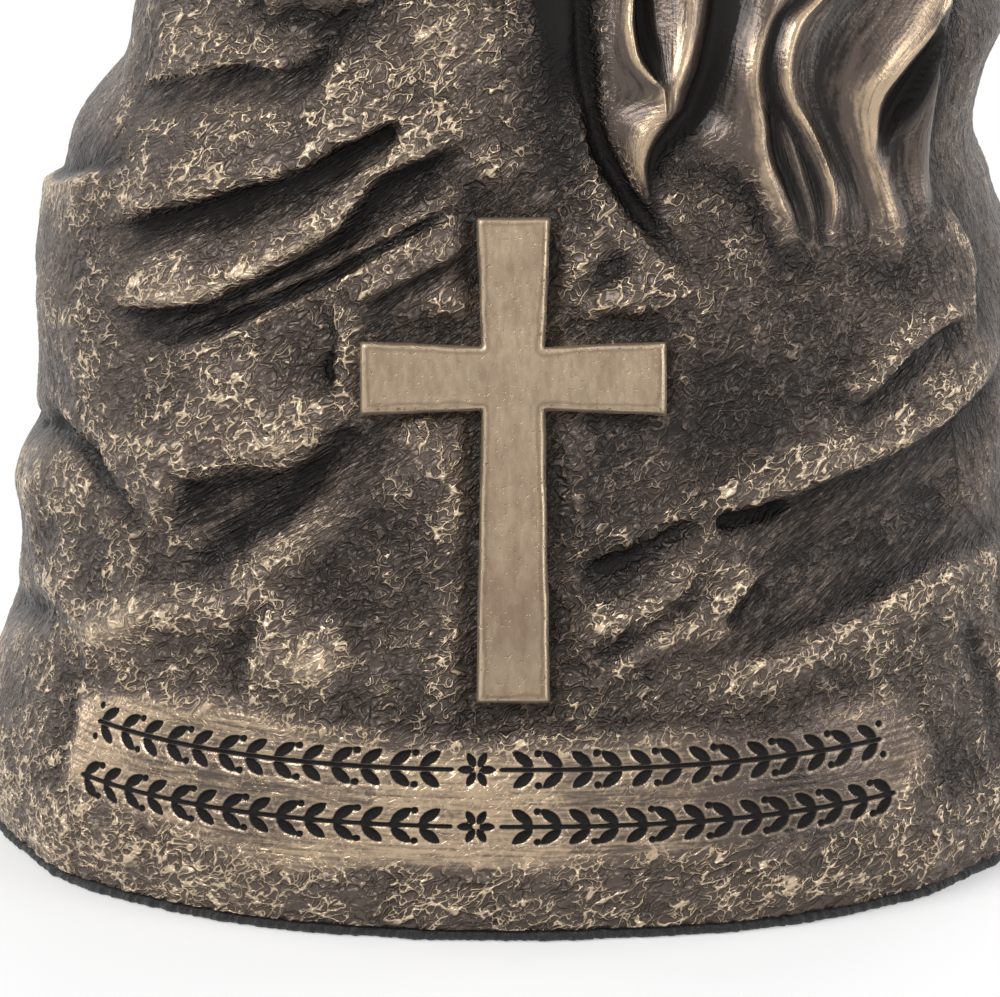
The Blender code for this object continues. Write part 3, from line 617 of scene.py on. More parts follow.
def fold_line(path, height):
    """A fold's angle and rise at a height."""
    spots = np.array(path, float)[::-1]
    return [float(curve_value(spots[:, 1], spots[:, column], height)) for column in (0, 2)]


def fold_section(lines, angle):
    """Rise of the cloth along one height, between its folds, and its place among them."""
    spots, rises, sharps, lanes = np.array(lines)[:, :4].T
    room = FOLD_GAP * np.arange(len(spots))
    spots = np.maximum.accumulate(spots - room) + room
    left = np.clip(np.searchsorted(spots, angle) - 1, 0, len(spots) - 2)
    right = left + 1
    t = np.clip((angle - spots[left]) / (spots[right] - spots[left]), 0.0, 1.0)
    weight = 2 * t**3 - 3 * t**2 + 1
    weight -= FOLD_SHARPNESS * (sharps[left] * (t**3 - 2 * t**2 + t) + sharps[right] * (t**3 - t**2))
    return rises[left] * weight + rises[right] * (1 - weight), lanes[left] + (lanes[right] - lanes[left]) * t


def fold_lines(level):
    """The folds that cross a height, with the share of each that isn't faded out, whole folds first.

    Each is its angle, rise, sharpness, lane, gold_and_shade (gold and painted highlight on lips, dark patina
    and painted shade in channels) and width.
    """
    found = []
    for lane, (sharp, fade, gold_and_shade, width, path) in enumerate(FOLDS):
        below = blend(path[-1][1] - fade, path[-1][1], level)
        above = blend(path[0][1] + FOLD_START, path[0][1], level)
        if below * above > 0:
            spot, up = fold_line(path, level)
            found.append((float(below * above), (spot, up, sharp, lane, gold_and_shade, width)))
    return sorted(found, key=lambda pair: -pair[0])


def cloth_form(angle, height):
    """Rise of the hanging cloth above the plain rock, its place among the folds, and its gold with painted
    highlight on lips and dark patina with painted shade in channels.
    """
    rise, lane, gold_and_shade = np.zeros(angle.shape), np.zeros(angle.shape), np.zeros(angle.shape)
    for level in np.unique(height):
        at = height == level
        spots = angle[at]
        lines = []
        up, place = np.zeros(spots.shape), np.zeros(spots.shape)
        for share, line in fold_lines(level):
            lines = sorted([*lines, line], key=lambda other: other[3])
            if len(lines) > 1:
                new_up, new_place = fold_section(lines, spots)
                up = up + (new_up - up) * share
                place = place + (new_place - place) * share
            gold_and_shade[at] += share * line[4] * np.exp(-(((spots - line[0]) / line[5]) ** 2))
        rise[at], lane[at] = up, place
    return rise, lane, gold_and_shade


def path_angle(path, height):
    """Angle of a side of the cloth at each height."""
    spots = np.array(path, float)[::-1]
    return np.interp(height, spots[:, 0], spots[:, 1])


def cloth_share(angle, height):
    """Where the cloth covers the rock. It ends sharply at its sides and melts away below."""
    left, right = path_angle(CLOTH_LEFT, height), path_angle(CLOTH_RIGHT, height)
    sides = blend(left - CLOTH_SIDE, left + CLOTH_SIDE, angle)
    sides = sides * blend(right + CLOTH_SIDE, right - CLOTH_SIDE, angle)
    ends = np.array(CLOTH_ENDS)
    low = np.interp(angle, ends[:, 0], ends[:, 1])
    return sides * blend(low - CLOTH_MELT[0], low + CLOTH_MELT[1], height)


def rock_form(angle, height):
    """The rock's radius, and the shares of cloth, band, recess and smooth slope at each point."""
    plain = plain_radius(angle, height)
    relief = lump_relief(angle, height)
    slope = np.zeros(angle.shape)
    for rise, soft, steep, points in LEDGES:
        relief += near_path(ledge_profile, points, angle, height, rise, soft, steep, LEDGE_ENDS)
        slope = np.maximum(slope, near_path(slope_profile, points, angle, height, steep, LEDGE_ENDS))
    for rise, width, points in STROKES:
        relief += near_path(stroke_profile, points, angle, height, rise, width, STROKE_ENDS)
    cloth = cloth_share(angle, height)
    draped, lane, gold_and_shade = cloth_form(angle, height)
    relief = relief + (draped - relief) * cloth
    corner = blend(-CLOTH_EDGE, CLOTH_EDGE, inside_distance(CORNER_OUTLINE, angle, height))
    folds = CLOTH_PROUD * corner
    for rise, width, points in CORNER_FOLDS:
        folds += near_path(stroke_profile, points, angle, height, rise, width, 0.08)
    relief = relief * (1 - 0.8 * corner) + folds
    cloth = np.maximum(cloth, corner)
    band = blend(-BAND_EDGE, BAND_EDGE, inside_distance(BAND_OUTLINE, angle, height))
    relief = relief * (1 - band) + BAND_PROUD * band
    radius = plain + relief
    facing = np.cos(np.radians(angle)) > 0
    x = plain * np.sin(np.radians(angle))
    near = 1 - blend(RECESS_MARGIN, RECESS_MARGIN + RECESS_FADE, cross_distance(x, height))
    near = np.where(facing, near, 0.0)
    flat = recess_radius(np.where(facing, angle, 0.0), height)
    radius = radius + (flat - radius) * near
    close = np.where(facing, 1 - blend(0.3, 2.0, cross_distance(x, height)), 0.0)
    return {
        "plain": plain, "radius": radius, "cloth": cloth, "band": band, "recess": close,
        "slope": slope * (1 - cloth), "lane": lane, "gold_and_shade": gold_and_shade * cloth * (angle > 0),
    }


def round_places(radius, angle, height):
    turned = np.radians(angle)
    return np.stack([radius * np.sin(turned), -radius * np.cos(turned), height], axis=-1)


def build_mesh(name, places, faces):
    """A smooth mesh from places in millimetres."""
    mesh = bpy.data.meshes.new(name)
    mesh.from_pydata((np.asarray(places) * MM).tolist(), [], faces)
    mesh.validate()
    mesh.shade_smooth()
    return mesh


def store(mesh, name, values):
    """Keep one number, or one place, for each vertex."""
    values = np.asarray(values, np.float32)
    if values.ndim == 1:
        mesh.attributes.new(name, "FLOAT", "POINT").data.foreach_set("value", values)
    else:
        mesh.attributes.new(name, "FLOAT_VECTOR", "POINT").data.foreach_set("vector", values.ravel())


def add_piece(name, mesh, material):
    obj = bpy.data.objects.new(name, mesh)
    bpy.context.scene.collection.objects.link(obj)
    mesh.materials.clear()
    mesh.materials.append(material)
    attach(obj, "root")
    return obj


class Graph:
    """Short calls that add nodes to a tree; each returns the new node's output."""

    def __init__(self, tree):
        self.tree = tree

    def add(self, kind, inputs=(), output=0, **settings):
        node = self.tree.nodes.new(kind)
        for key, value in settings.items():
            setattr(node, key, value)
        for key, value in dict(inputs).items():
            if isinstance(value, bpy.types.NodeSocket):
                self.tree.links.new(value, node.inputs[key])
            else:
                node.inputs[key].default_value = value
        return node.outputs[output]

    def math(self, operation, a, b=0.0, c=0.0, clamp=False):
        return self.add("ShaderNodeMath", {0: a, 1: b, 2: c}, operation=operation, use_clamp=clamp)

    def vector(self, operation, a, b=(0, 0, 0), c=(0, 0, 0)):
        return self.add("ShaderNodeVectorMath", {0: a, 1: b, 2: c}, operation=operation)

    def noise(self, place, scale, detail=1.0, roughness=0.5, colour=False):
        sockets = {"Vector": place, "Scale": scale, "Detail": detail, "Roughness": roughness}
        return self.add("ShaderNodeTexNoise", sockets, output=1 if colour else 0)

    def remap(self, value, low, high, new_low=0.0, new_high=1.0, smooth=False):
        sockets = {0: value, 1: low, 2: high, 3: new_low, 4: new_high}
        interpolation = "SMOOTHSTEP" if smooth else "LINEAR"
        return self.add("ShaderNodeMapRange", sockets, interpolation_type=interpolation)

    def window(self, value, first, full, still, last):
        """1 between full and still, 0 outside first and last."""
        rise = self.remap(value, first, full, smooth=True)
        return self.math("MULTIPLY", rise, self.remap(value, last, still, smooth=True))

    def tint(self, base, colour, share, strength):
        """Mix a colour in, as far as share times strength."""
        return self.mix(self.math("MULTIPLY", share, strength), base, colour)

    def mix(self, share, a, b):
        """Colour a at share 0 and b at share 1."""
        colours = [c if isinstance(c, bpy.types.NodeSocket) else (*c, 1.0) for c in (a, b)]
        sockets = {0: share, 6: colours[0], 7: colours[1]}
        return self.add("ShaderNodeMix", sockets, output=2, data_type="RGBA")


def wrinkle_nodes(graph, place):
    """Curly wrinkles of the rock at a place in millimetres: broad tents, fine tents and thin crests."""
    warp = graph.vector("SUBTRACT", graph.noise(place, 0.42, 1.0, colour=True), (0.5, 0.5, 0.5))
    bent = graph.vector("MULTIPLY_ADD", warp, (2.8, 2.8, 2.8), place)
    broad = graph.noise(bent, 0.50, 0.5)
    fine = graph.noise(graph.vector("ADD", bent, (31.7, 11.3, 5.9)), 0.95, 0.6)
    off_broad = graph.math("ABSOLUTE", graph.math("SUBTRACT", broad, 0.5))
    off_fine = graph.math("ABSOLUTE", graph.math("SUBTRACT", fine, 0.5))
    tents = graph.remap(off_broad, 0.0, 0.17, 1.0, 0.0), graph.remap(off_fine, 0.0, 0.15, 1.0, 0.0)
    crest = graph.math(
        "MAXIMUM",
        graph.remap(off_broad, 0.012, 0.05, 1.0, 0.0),
        graph.remap(off_fine, 0.01, 0.042, 1.0, 0.0),
    )
    return *tents, crest


def streak_nodes(graph, flow):
    """Brush marks along the flow, and the tents and thin lines of its cracks."""
    marks = graph.noise(flow, 1.0, 2.0, 0.6)
    off = graph.math("ABSOLUTE", graph.math("SUBTRACT", marks, 0.5))
    return marks, graph.remap(off, 0.0, 0.12, 1.0, 0.0), graph.remap(off, 0.0, 0.035, 1.0, 0.0)


def wrinkle_surface(obj, rise):
    """Raise the wrinkles out of the mesh along its attribute out, as far as rough says."""
    tree = bpy.data.node_groups.new("wrinkle surface", "GeometryNodeTree")
    tree.interface.new_socket("Geometry", in_out="INPUT", socket_type="NodeSocketGeometry")
    tree.interface.new_socket("Geometry", in_out="OUTPUT", socket_type="NodeSocketGeometry")
    graph = Graph(tree)
    start = graph.add("NodeGroupInput")
    grain = graph.add("GeometryNodeInputNamedAttribute", {"Name": "grain"}, data_type="FLOAT_VECTOR")
    out = graph.add("GeometryNodeInputNamedAttribute", {"Name": "out"}, data_type="FLOAT_VECTOR")
    rough = graph.add("GeometryNodeInputNamedAttribute", {"Name": "rough"}, data_type="FLOAT")
    broad, fine, _ = wrinkle_nodes(graph, grain)
    tent = graph.math("MULTIPLY_ADD", fine, 0.35, broad)
    grown = graph.math("MULTIPLY", graph.math("MULTIPLY", tent, rough), rise * MM)
    offset = graph.vector("SCALE", out)
    graph.tree.links.new(grown, offset.node.inputs["Scale"])
    moved = graph.add("GeometryNodeSetPosition", {"Geometry": start, "Offset": offset})
    end = tree.nodes.new("NodeGroupOutput")
    tree.links.new(moved, end.inputs[0])
    modifier = obj.modifiers.new("Wrinkles", "NODES")
    modifier.node_group = tree
    made = bpy.data.meshes.new_from_object(obj.evaluated_get(bpy.context.evaluated_depsgraph_get()))
    obj.modifiers.clear()
    obj.data = made
    return obj


def new_material(name):
    material = bpy.data.materials.new(name)
    material.use_nodes = True
    return material, Graph(material.node_tree), material.node_tree.nodes["Principled BSDF"]


def attribute(graph, name, vector=False):
    return graph.add("ShaderNodeAttribute", output=1 if vector else 2, attribute_name=name)


def bronze_material():
    """Antiqued bronze. Gold shows on crests and where the attribute wear_and_light is high, which holds
    rubbed wear and painted light;
    dark patina and painted shade stay where patina_and_shade is high, near black where it is highest; marks
    and cracks run along flow, and groove is the engraving's black."""
    material, graph, shader = new_material("cast bronze")
    place = attribute(graph, "rest", vector=True)
    flow = attribute(graph, "flow", vector=True)
    wear_and_light, patina_and_shade = attribute(graph, "wear_and_light"), attribute(graph, "patina_and_shade")
    rough, sleek = attribute(graph, "rough"), attribute(graph, "sleek")
    streaky, groove = attribute(graph, "streaky"), attribute(graph, "groove")
    speck = graph.noise(place, 2.1, 1.0, 0.6)
    patch = graph.noise(place, 0.10, 2.0)
    marks, ridge, crack = streak_nodes(graph, flow)
    broad, fine, crest = wrinkle_nodes(graph, attribute(graph, "grain", vector=True))
    broken = graph.remap(graph.noise(place, 0.26, 2.0), 0.36, 0.56, 0.1, 1.0, smooth=True)
    crest = graph.math("MULTIPLY", graph.math("MULTIPLY", crest, broken), rough)
    lines = graph.math("MULTIPLY", crack, streaky)
    lit = graph.remap(wear_and_light, 0.05, 0.55, 0.25, 1.7)
    shine = graph.math("MULTIPLY_ADD", crest, lit, wear_and_light)
    shine = graph.math("MULTIPLY_ADD", graph.math("MULTIPLY", lines, lit), 0.6, shine)
    drawn = graph.math("MULTIPLY", graph.math("SUBTRACT", marks, 0.5), graph.math("MAXIMUM", sleek, streaky))
    shine = graph.math("MULTIPLY_ADD", drawn, 1.1, shine)
    shine = graph.math("MULTIPLY_ADD", graph.math("SUBTRACT", speck, 0.5), 0.30, shine)
    shine = graph.math("MULTIPLY_ADD", graph.math("SUBTRACT", patch, 0.5), 0.5, shine)
    shine = graph.math("SUBTRACT", shine, patina_and_shade)
    base = graph.mix(graph.remap(shine, -0.05, 0.45, smooth=True), DARK_PATINA, BROWN_BRONZE)
    worn = graph.mix(sleek, GOLD_BRONZE, WORN_BRONZE)
    base = graph.mix(graph.remap(shine, 0.5, 1.15, smooth=True), base, worn)
    # Deep channels go near black: dark patina and painted shade where they are deepest
    deep_patina_and_shade = graph.remap(shine, -0.05, -0.5, smooth=True)
    base = graph.mix(deep_patina_and_shade, base, GROOVE_BLACK)
    base = graph.tint(base, GOLD_BRONZE, graph.window(groove, 0.60, 0.86, 0.92, 1.0), 0.2)
    black = graph.remap(groove, 0.95, 1.06, smooth=True)
    base = graph.mix(black, base, GROOVE_BLACK)
    graph.tree.links.new(base, shader.inputs["Base Color"])
    gloss = graph.math("MULTIPLY_ADD", sleek, -0.08, graph.remap(shine, 0.0, 1.0, 0.36, 0.32))
    gloss = graph.math("MAXIMUM", gloss, graph.math("MULTIPLY", graph.math("MAXIMUM", black, deep_patina_and_shade), 0.72))
    graph.tree.links.new(gloss, shader.inputs["Roughness"])
    shader.inputs["Metallic"].default_value = 0.62
    tents = graph.math("MULTIPLY_ADD", fine, 1.2, broad)
    height = graph.math("MULTIPLY_ADD", graph.math("MULTIPLY", tents, rough), 0.4, crest)
    height = graph.math("MULTIPLY_ADD", graph.math("MULTIPLY", ridge, streaky), 0.8, height)
    height = graph.math("MULTIPLY_ADD", graph.math("MULTIPLY", marks, sleek), 0.25, height)
    height = graph.math("MULTIPLY_ADD", speck, 0.16, height)
    bump = graph.add(
        "ShaderNodeBump", {"Strength": 0.9, "Distance": 0.35 * MM, "Height": height}
    )
    graph.tree.links.new(bump, shader.inputs["Normal"])
    return material


def cross_material():
    """Light worn bronze with pits, a brown stain down its shaft and a painted highlight along its edges."""
    material, graph, shader = new_material("light bronze")
    place = attribute(graph, "rest", vector=True)
    edge = attribute(graph, "edge")
    brushed = graph.noise(graph.vector("MULTIPLY", place, (1.2, 1.2, 0.35)), 1.0, 3.0, 0.6)
    blotch = graph.noise(place, 0.12, 3.0, 0.6)
    speck = graph.noise(place, 2.0, 2.0, 0.6)
    base = graph.mix(graph.remap(brushed, 0.3, 0.7), CROSS_DARK, CROSS_LIGHT)
    stained = graph.remap(blotch, 0.50, 0.72, smooth=True)
    base = graph.tint(base, CROSS_STAIN, stained, 0.3)
    level = graph.add("ShaderNodeSeparateXYZ", {0: place}, output=2)
    shaft = graph.window(level, 31.0, 36.0, 44.0, 60.0)
    drip = graph.remap(graph.noise(graph.vector("MULTIPLY", place, (0.5, 0.5, 0.14)), 1.0, 2.0), 0.42, 0.60)
    base = graph.tint(base, CROSS_DRIP, graph.math("MULTIPLY", shaft, drip), 0.28)
    foot = graph.remap(level, 48.0, 32.0, smooth=True)
    base = graph.tint(base, CROSS_LOW, foot, 0.3)
    near_edge = graph.remap(edge, 1.6, 0.2, smooth=True)
    pitted = graph.remap(near_edge, 0.0, 1.0, 0.35, 1.0)
    dots = graph.math("MULTIPLY", graph.remap(speck, 0.60, 0.70), pitted)
    base = graph.tint(base, CROSS_PIT, dots, 0.75)
    wobble = graph.math("MULTIPLY_ADD", graph.math("SUBTRACT", blotch, 0.5), 1.6, edge)
    line = graph.window(wobble, 0.45, 0.7, 0.75, 1.1)
    base = graph.tint(base, CROSS_LINE, line, 0.4)
    # Painted highlight: a light rim along the eased edges, as if they caught the light
    rim = graph.remap(edge, 0.5, 0.15, smooth=True)
    base = graph.tint(base, CROSS_RIM_HIGHLIGHT, rim, graph.remap(blotch, 0.35, 0.6, 0.35, 0.9))
    below = graph.remap(edge, -0.05, -0.4, smooth=True)
    base = graph.mix(below, base, DARK_PATINA)
    graph.tree.links.new(base, shader.inputs["Base Color"])
    shader.inputs["Metallic"].default_value = 0.85
    graph.tree.links.new(graph.remap(blotch, 0.3, 0.7, 0.46, 0.34), shader.inputs["Roughness"])
    height = graph.math("MULTIPLY_ADD", speck, 0.4, brushed)
    height = graph.math("MULTIPLY_ADD", dots, -1.5, height)
    bump = graph.add("ShaderNodeBump", {"Strength": 0.5, "Distance": 0.12 * MM, "Height": height})
    graph.tree.links.new(bump, shader.inputs["Normal"])
    return material


def felt_material():
    material, graph, shader = new_material("black felt")
    place = graph.vector("SCALE", graph.add("ShaderNodeTexCoord", output=3))
    place.node.inputs["Scale"].default_value = 1 / MM
    fluff = graph.noise(place, 2.5, 3.0, 0.7)
    base = graph.mix(graph.remap(fluff, 0.35, 0.7), FELT_DARK, FELT_LIGHT)
    graph.tree.links.new(base, shader.inputs["Base Color"])
    shader.inputs["Roughness"].default_value = 0.95
    shader.inputs["Sheen Weight"].default_value = 0.25
    bump = graph.add("ShaderNodeBump", {"Strength": 0.9, "Distance": 0.4 * MM, "Height": fluff})
    graph.tree.links.new(bump, shader.inputs["Normal"])
    return material


def blurred(values, size):
    """Blur a grid that closes on itself along its second axis."""
    reach = np.arange(-2 * size, 2 * size + 1)
    weights = np.exp(-0.5 * (reach / size) ** 2)
    weights /= weights.sum()
    wide = np.pad(values, ((2 * size, 2 * size), (0, 0)), mode="edge")
    down = sum(w * wide[i:i + len(values)] for i, w in enumerate(weights))
    return sum(w * np.roll(down, r, axis=1) for r, w in zip(reach, weights))


def grid_faces(rows, columns, closed=True):
    """Quads of a grid of rows, each row a ring if closed."""
    last = columns if closed else columns - 1
    made = []
    for row in range(rows - 1):
        for column in range(last):
            after = (column + 1) % columns
            low, high = row * columns, (row + 1) * columns
            made.append((low + column, low + after, high + after, high + column))
    return made


def surface_layers(angle, height, form):
    """What the material reads at each point of the rock."""
    out = form["radius"] - form["plain"]
    crests = out - blurred(out, FINE_BLUR)
    bulk = out - blurred(out, BROAD_BLUR)
    cloth, band, recess = form["cloth"], form["band"], form["recess"]
    slope = form["slope"]
    low = blend(*SIDE_LOW, height)
    first, last = (edge + shift * low for edge, shift in zip(SIDE_RIGHT, SIDE_LOW_SHIFT))
    side = np.where(angle > 0, blend(first, last, angle), blend(*SIDE_LEFT, angle))
    side = side * (np.abs(angle) < SIDE_LAST)
    streaky = np.maximum.reduce([slope, 0.8 * side, 0.6 * recess]) * (1 - cloth) * (1 - band)
    rough = (1 - cloth) * (1 - 0.9 * band) * (1 - 0.75 * streaky)
    rough = rough * (1 - 0.7 * blend(0.3, 0.9, -crests))
    sleek = np.maximum(cloth, band)
    # The left side is painted lighter, as if lit more from the left
    left = blend(*LEFT_SPAN, angle)
    wear_and_light = ROCK_WEAR + LEFT_PAINTED_LIGHT * left + 0.32 * np.clip(crests, -1, 1) + 0.08 * np.clip(bulk, -2, 2)
    # The foot is worn lighter, and painted lighter on the left; the ledges' smooth lower faces get painted
    # shade
    wear_and_light = wear_and_light + FOOT_WEAR * blend(*FOOT_SPAN, height) * (0.55 + 0.7 * left) - 0.08 * slope
    # The cloth's folds: gold with painted highlight on their lips
    wear_and_light = wear_and_light * (1 - 0.5 * cloth) + CLOTH_WEAR * cloth + 0.85 * np.clip(form["gold_and_shade"], 0, 2)
    wear_and_light = wear_and_light + BAND_WEAR * band * band_gold(angle)
    # Dark patina and painted shade: in hollows and creases of the relief, close round the cross and in the
    # cloth's channels
    patina_and_shade = 0.18 * np.clip(-bulk - 0.5, 0, 2) + 0.42 * np.clip(-crests - 0.35, 0, 2) + 0.14 * recess
    patina_and_shade = patina_and_shade + 0.75 * np.clip(-form["gold_and_shade"], 0, 2)
    # Spots of rubbed gold and painted highlight, and of dark patina and painted shade, which also smooth the
    # wrinkles
    for shade, at, level, wide, tall in GOLD_AND_SHADE_SPOTS:
        spot = abs(shade) * np.exp(-(((angle - at) / wide) ** 2) - ((height - level) / tall) ** 2)
        if shade > 0:
            wear_and_light = wear_and_light + spot
        else:
            patina_and_shade = patina_and_shade + spot * (1 - cloth)
            rough = rough * (1 - np.clip(spot, 0, 0.95))
    tilt = math.radians(STREAK_TILT)
    across = height * math.cos(tilt) - angle * math.sin(tilt)
    along = angle * math.cos(tilt) + height * math.sin(tilt)
    flow = np.stack([across * 1.4, along * 0.2, 0 * angle], axis=-1)
    hairy = np.stack([angle * 1.3, height * 0.3, 0 * angle], axis=-1)
    flow = np.where((side > 0.3)[..., None], hairy, flow)
    draped = np.stack([form["lane"] * 7.0, height * 0.2, 0 * angle], axis=-1)
    flow = np.where((cloth > 0.5)[..., None], draped, flow)
    ribbon = np.stack([angle * 0.2, height * 2.2, 0 * angle], axis=-1)
    flow = np.where((band > 0.4)[..., None], ribbon, flow)
    return {"rough": rough, "sleek": sleek, "streaky": streaky, "wear_and_light": wear_and_light, "patina_and_shade": patina_and_shade, "flow": flow}


def band_gold(angle):
    """How bright the band is along its length: brightest left of its middle and at its left end."""
    bright = np.exp(-(((angle + 7) / 15) ** 2))
    dull = np.exp(-(((angle - 30) / 6) ** 2))
    return 0.85 + 0.5 * blend(-34, -48, angle) + 0.9 * bright - 0.8 * dull


def store_layers(mesh, places, layers, extra):
    """Keep the material's layers, with extra plain points at the end of the mesh."""
    flat = np.hypot(places[:, 0], places[:, 1])[:, None]
    out = np.hstack([places[:, :2] / np.maximum(flat, 1e-6), np.zeros((len(places), 1))])
    grain = places.copy()
    grain[:, 2] = GRAIN_STRETCH * (places[:, 2] - GRAIN_SLANT * places[:, 0])
    store(mesh, "rest", places)
    store(mesh, "grain", grain)
    store(mesh, "out", out)
    for name, values in layers.items():
        values = values.reshape(-1, 3) if values.ndim == 3 else values.ravel()
        store(mesh, name, np.concatenate([values, np.zeros((extra, *values.shape[1:]))]))


def make_rock(material):
    """The rock in wedges that meet along upright lines, each closed by walls to the axis."""
    heights = np.linspace(ROCK_FOOT, ROCK_TOP, round((ROCK_TOP - ROCK_FOOT) / RING_STEP) + 1)
    columns = np.concatenate([np.linspace(a, b, round((b - a) / step) + 1)[:-1] for _, a, b, step in WEDGES])
    angle, height = np.meshgrid(np.where(columns > 180, columns - 360, columns), heights)
    form = rock_form(angle, height)
    layers = surface_layers(angle, height, form)
    covered = blend(1.0, 2.6, patch_inset(angle, height))
    places = round_places(form["radius"] - BAND_SINK * covered, angle, height)
    rows = len(heights)
    axis = [(0.0, 0.0, h) for h in heights] + [(FIGURE_AT[0], FIGURE_AT[1], ROCK_TOP + CROWN_RISE)]
    made = []
    for name, first, last, _ in WEDGES:
        picked = np.nonzero((columns >= first - 1e-6) & (columns <= last + 1e-6))[0]
        if last > columns[-1]:
            picked = np.append(picked, 0)
        count = len(picked)
        faces = grid_faces(rows, count, closed=False)
        spine = rows * count
        top, crown = (rows - 1) * count, spine + rows
        for column in range(count - 1):
            faces.append((top + column, top + column + 1, crown))
        smooth = len(faces)
        for column in range(count - 1):
            faces.append((column + 1, column, spine))
        for row in range(rows - 1):
            low, high = row * count, (row + 1) * count
            faces.append((low, high, spine + row + 1, spine + row))
            faces.append((high + count - 1, low + count - 1, spine + row, spine + row + 1))
        faces.append((top, crown, spine + rows - 1))
        faces.append((crown, top + count - 1, spine + rows - 1))
        points = np.vstack([places[:, picked].reshape(-1, 3), axis])
        mesh = build_mesh(name, points, faces)
        mesh.polygons.foreach_set("use_smooth", np.arange(len(faces)) < smooth)
        store_layers(mesh, points, {k: v[:, picked] for k, v in layers.items()}, rows + 1)
        made.append(wrinkle_surface(add_piece(name, mesh, material), WRINKLE_RISE))
    return made


def patch_inset(angle, height):
    """Distance inside the patch of finer mesh that holds the band."""
    across = np.minimum(angle - BAND_SPAN[0], BAND_SPAN[1] - angle)
    return np.minimum(across, np.minimum(height - BAND_RISE[0], BAND_RISE[1] - height))


def cross_outline():
    """The cross's outline, its bars a little wider at their ends."""
    half, end = CROSS_BAR / 2, CROSS_BAR / 2 + CROSS_FLARE
    span, arm = CROSS_SPAN / 2, CROSS_HEIGHT - CROSS_ARM_DROP
    right = [
        (end, 0), (half, arm - half), (span, arm - end), (span, arm + end),
        (half, arm + half), (end, CROSS_HEIGHT),
    ]
    return right + [(-x, y) for x, y in reversed(right)]


def flat_noise(x, y, scale, layer):
    """Soft noise over the cross's face."""
    found = [noise.noise(Vector((a * scale, b * scale, layer))) for a, b in zip(x.ravel(), y.ravel())]
    return np.array(found).reshape(x.shape)


def make_cross(material):
    """A plate with eased, hand-worn edges, lying on the recess and rooted in the rock."""
    outline = cross_outline()
    margin = CROSS_MARGIN
    xs = np.arange(-CROSS_SPAN / 2 - margin, CROSS_SPAN / 2 + margin + CROSS_STEP, CROSS_STEP)
    ys = np.arange(-margin, CROSS_HEIGHT + margin + CROSS_STEP, CROSS_STEP)
    x, y = np.meshgrid(xs, ys)
    edge = inside_distance(outline, x, y) + CROSS_WANDER * flat_noise(x, y, 0.22, 3.1)
    keep = edge > -margin * 0.7
    round_over = np.clip(edge / CROSS_EDGE, 0, 1)
    rise = CROSS_PROUD - CROSS_EDGE * (1 - np.sqrt(1 - (1 - round_over) ** 2))
    wall = np.clip(-edge / 0.25, 0, 1)
    rise = rise - (CROSS_PROUD + CROSS_ROOT * 0.3) * wall
    rise = rise + CROSS_DENTS * flat_noise(x, y, 0.16, 9.4) * (edge > 0)
    numbers = np.full(x.shape, -1)
    used = np.zeros(x.shape, bool)
    cells = keep[:-1, :-1] & keep[1:, :-1] & keep[:-1, 1:] & keep[1:, 1:]
    for rows in (slice(None, -1), slice(1, None)):
        for columns in (slice(None, -1), slice(1, None)):
            used[rows, columns] |= cells
    numbers[used] = np.arange(used.sum())
    front = np.stack([x[used], -rise[used], y[used]], axis=-1)
    count = len(front)
    back = front.copy()
    back[:, 1] = CROSS_ROOT
    faces = []
    for i, j in zip(*np.nonzero(cells)):
        a, b, c, d = numbers[i, j], numbers[i, j + 1], numbers[i + 1, j + 1], numbers[i + 1, j]
        faces.append((a, b, c, d))
        faces.append((count + d, count + c, count + b, count + a))
    edges = {}
    for face in faces[::2]:
        for start, end in zip(face, face[1:] + face[:1]):
            edges[(start, end)] = True
    for start, end in edges:
        if (end, start) not in edges:
            faces.append((end, start, count + start, count + end))
    tilt = cross_tilt()
    foot = float(recess_radius(np.zeros(1), np.array([CROSS_FOOT]))[0])
    turn = np.array(Matrix.Rotation(-tilt, 3, "X"))
    local = np.vstack([front, back])
    places = local @ turn.T + np.array([0, -foot, CROSS_FOOT])
    mesh = build_mesh("cross", places, faces)
    store(mesh, "rest", places)
    store(mesh, "edge", np.append(edge[used], np.full(count, -2.0)))
    return add_piece("cross", mesh, material)


def laurel_parts():
    """The laurel's stems, then its leaves and petals with their roots, leans and sizes, and its berries."""
    stems, leaves, berries = [], [], []
    for middle, (first, last) in zip(ROW_HEIGHTS, ROW_SPANS):
        centre = (first + last) / 2
        pairs = round((last - first) / 2 / LEAF_STEP)
        step = (last - first - 2 * LEAF_STEP) / 2 / pairs
        for side in (-1, 1):
            ends = (centre + side * LEAF_STEP * 0.8, centre + side * (last - first) / 2)
            stems.append(np.array([(end, middle) for end in ends]))
            for pair in range(pairs):
                at = centre + side * (LEAF_STEP + (pair + 0.9) * step)
                for up in (-1, 1):
                    lean = math.radians(LEAF_LEAN) * up
                    lean = lean if side < 0 else math.pi - lean
                    leaves.append(((at, middle + up * LEAF_ROOT), lean, (LEAF_LENGTH, LEAF_WIDTH)))
                    if pair % 2 == 0:
                        berries.append((at + side * 0.45, middle + up * BERRY_OUT))
        for petal in range(ROSETTE_PETALS):
            lean = 2 * math.pi * petal / ROSETTE_PETALS
            root = (centre + ROSETTE_EYE * math.cos(lean), middle + ROSETTE_EYE * math.sin(lean))
            leaves.append((root, lean, ROSETTE_PETAL))
    return stems, leaves, berries


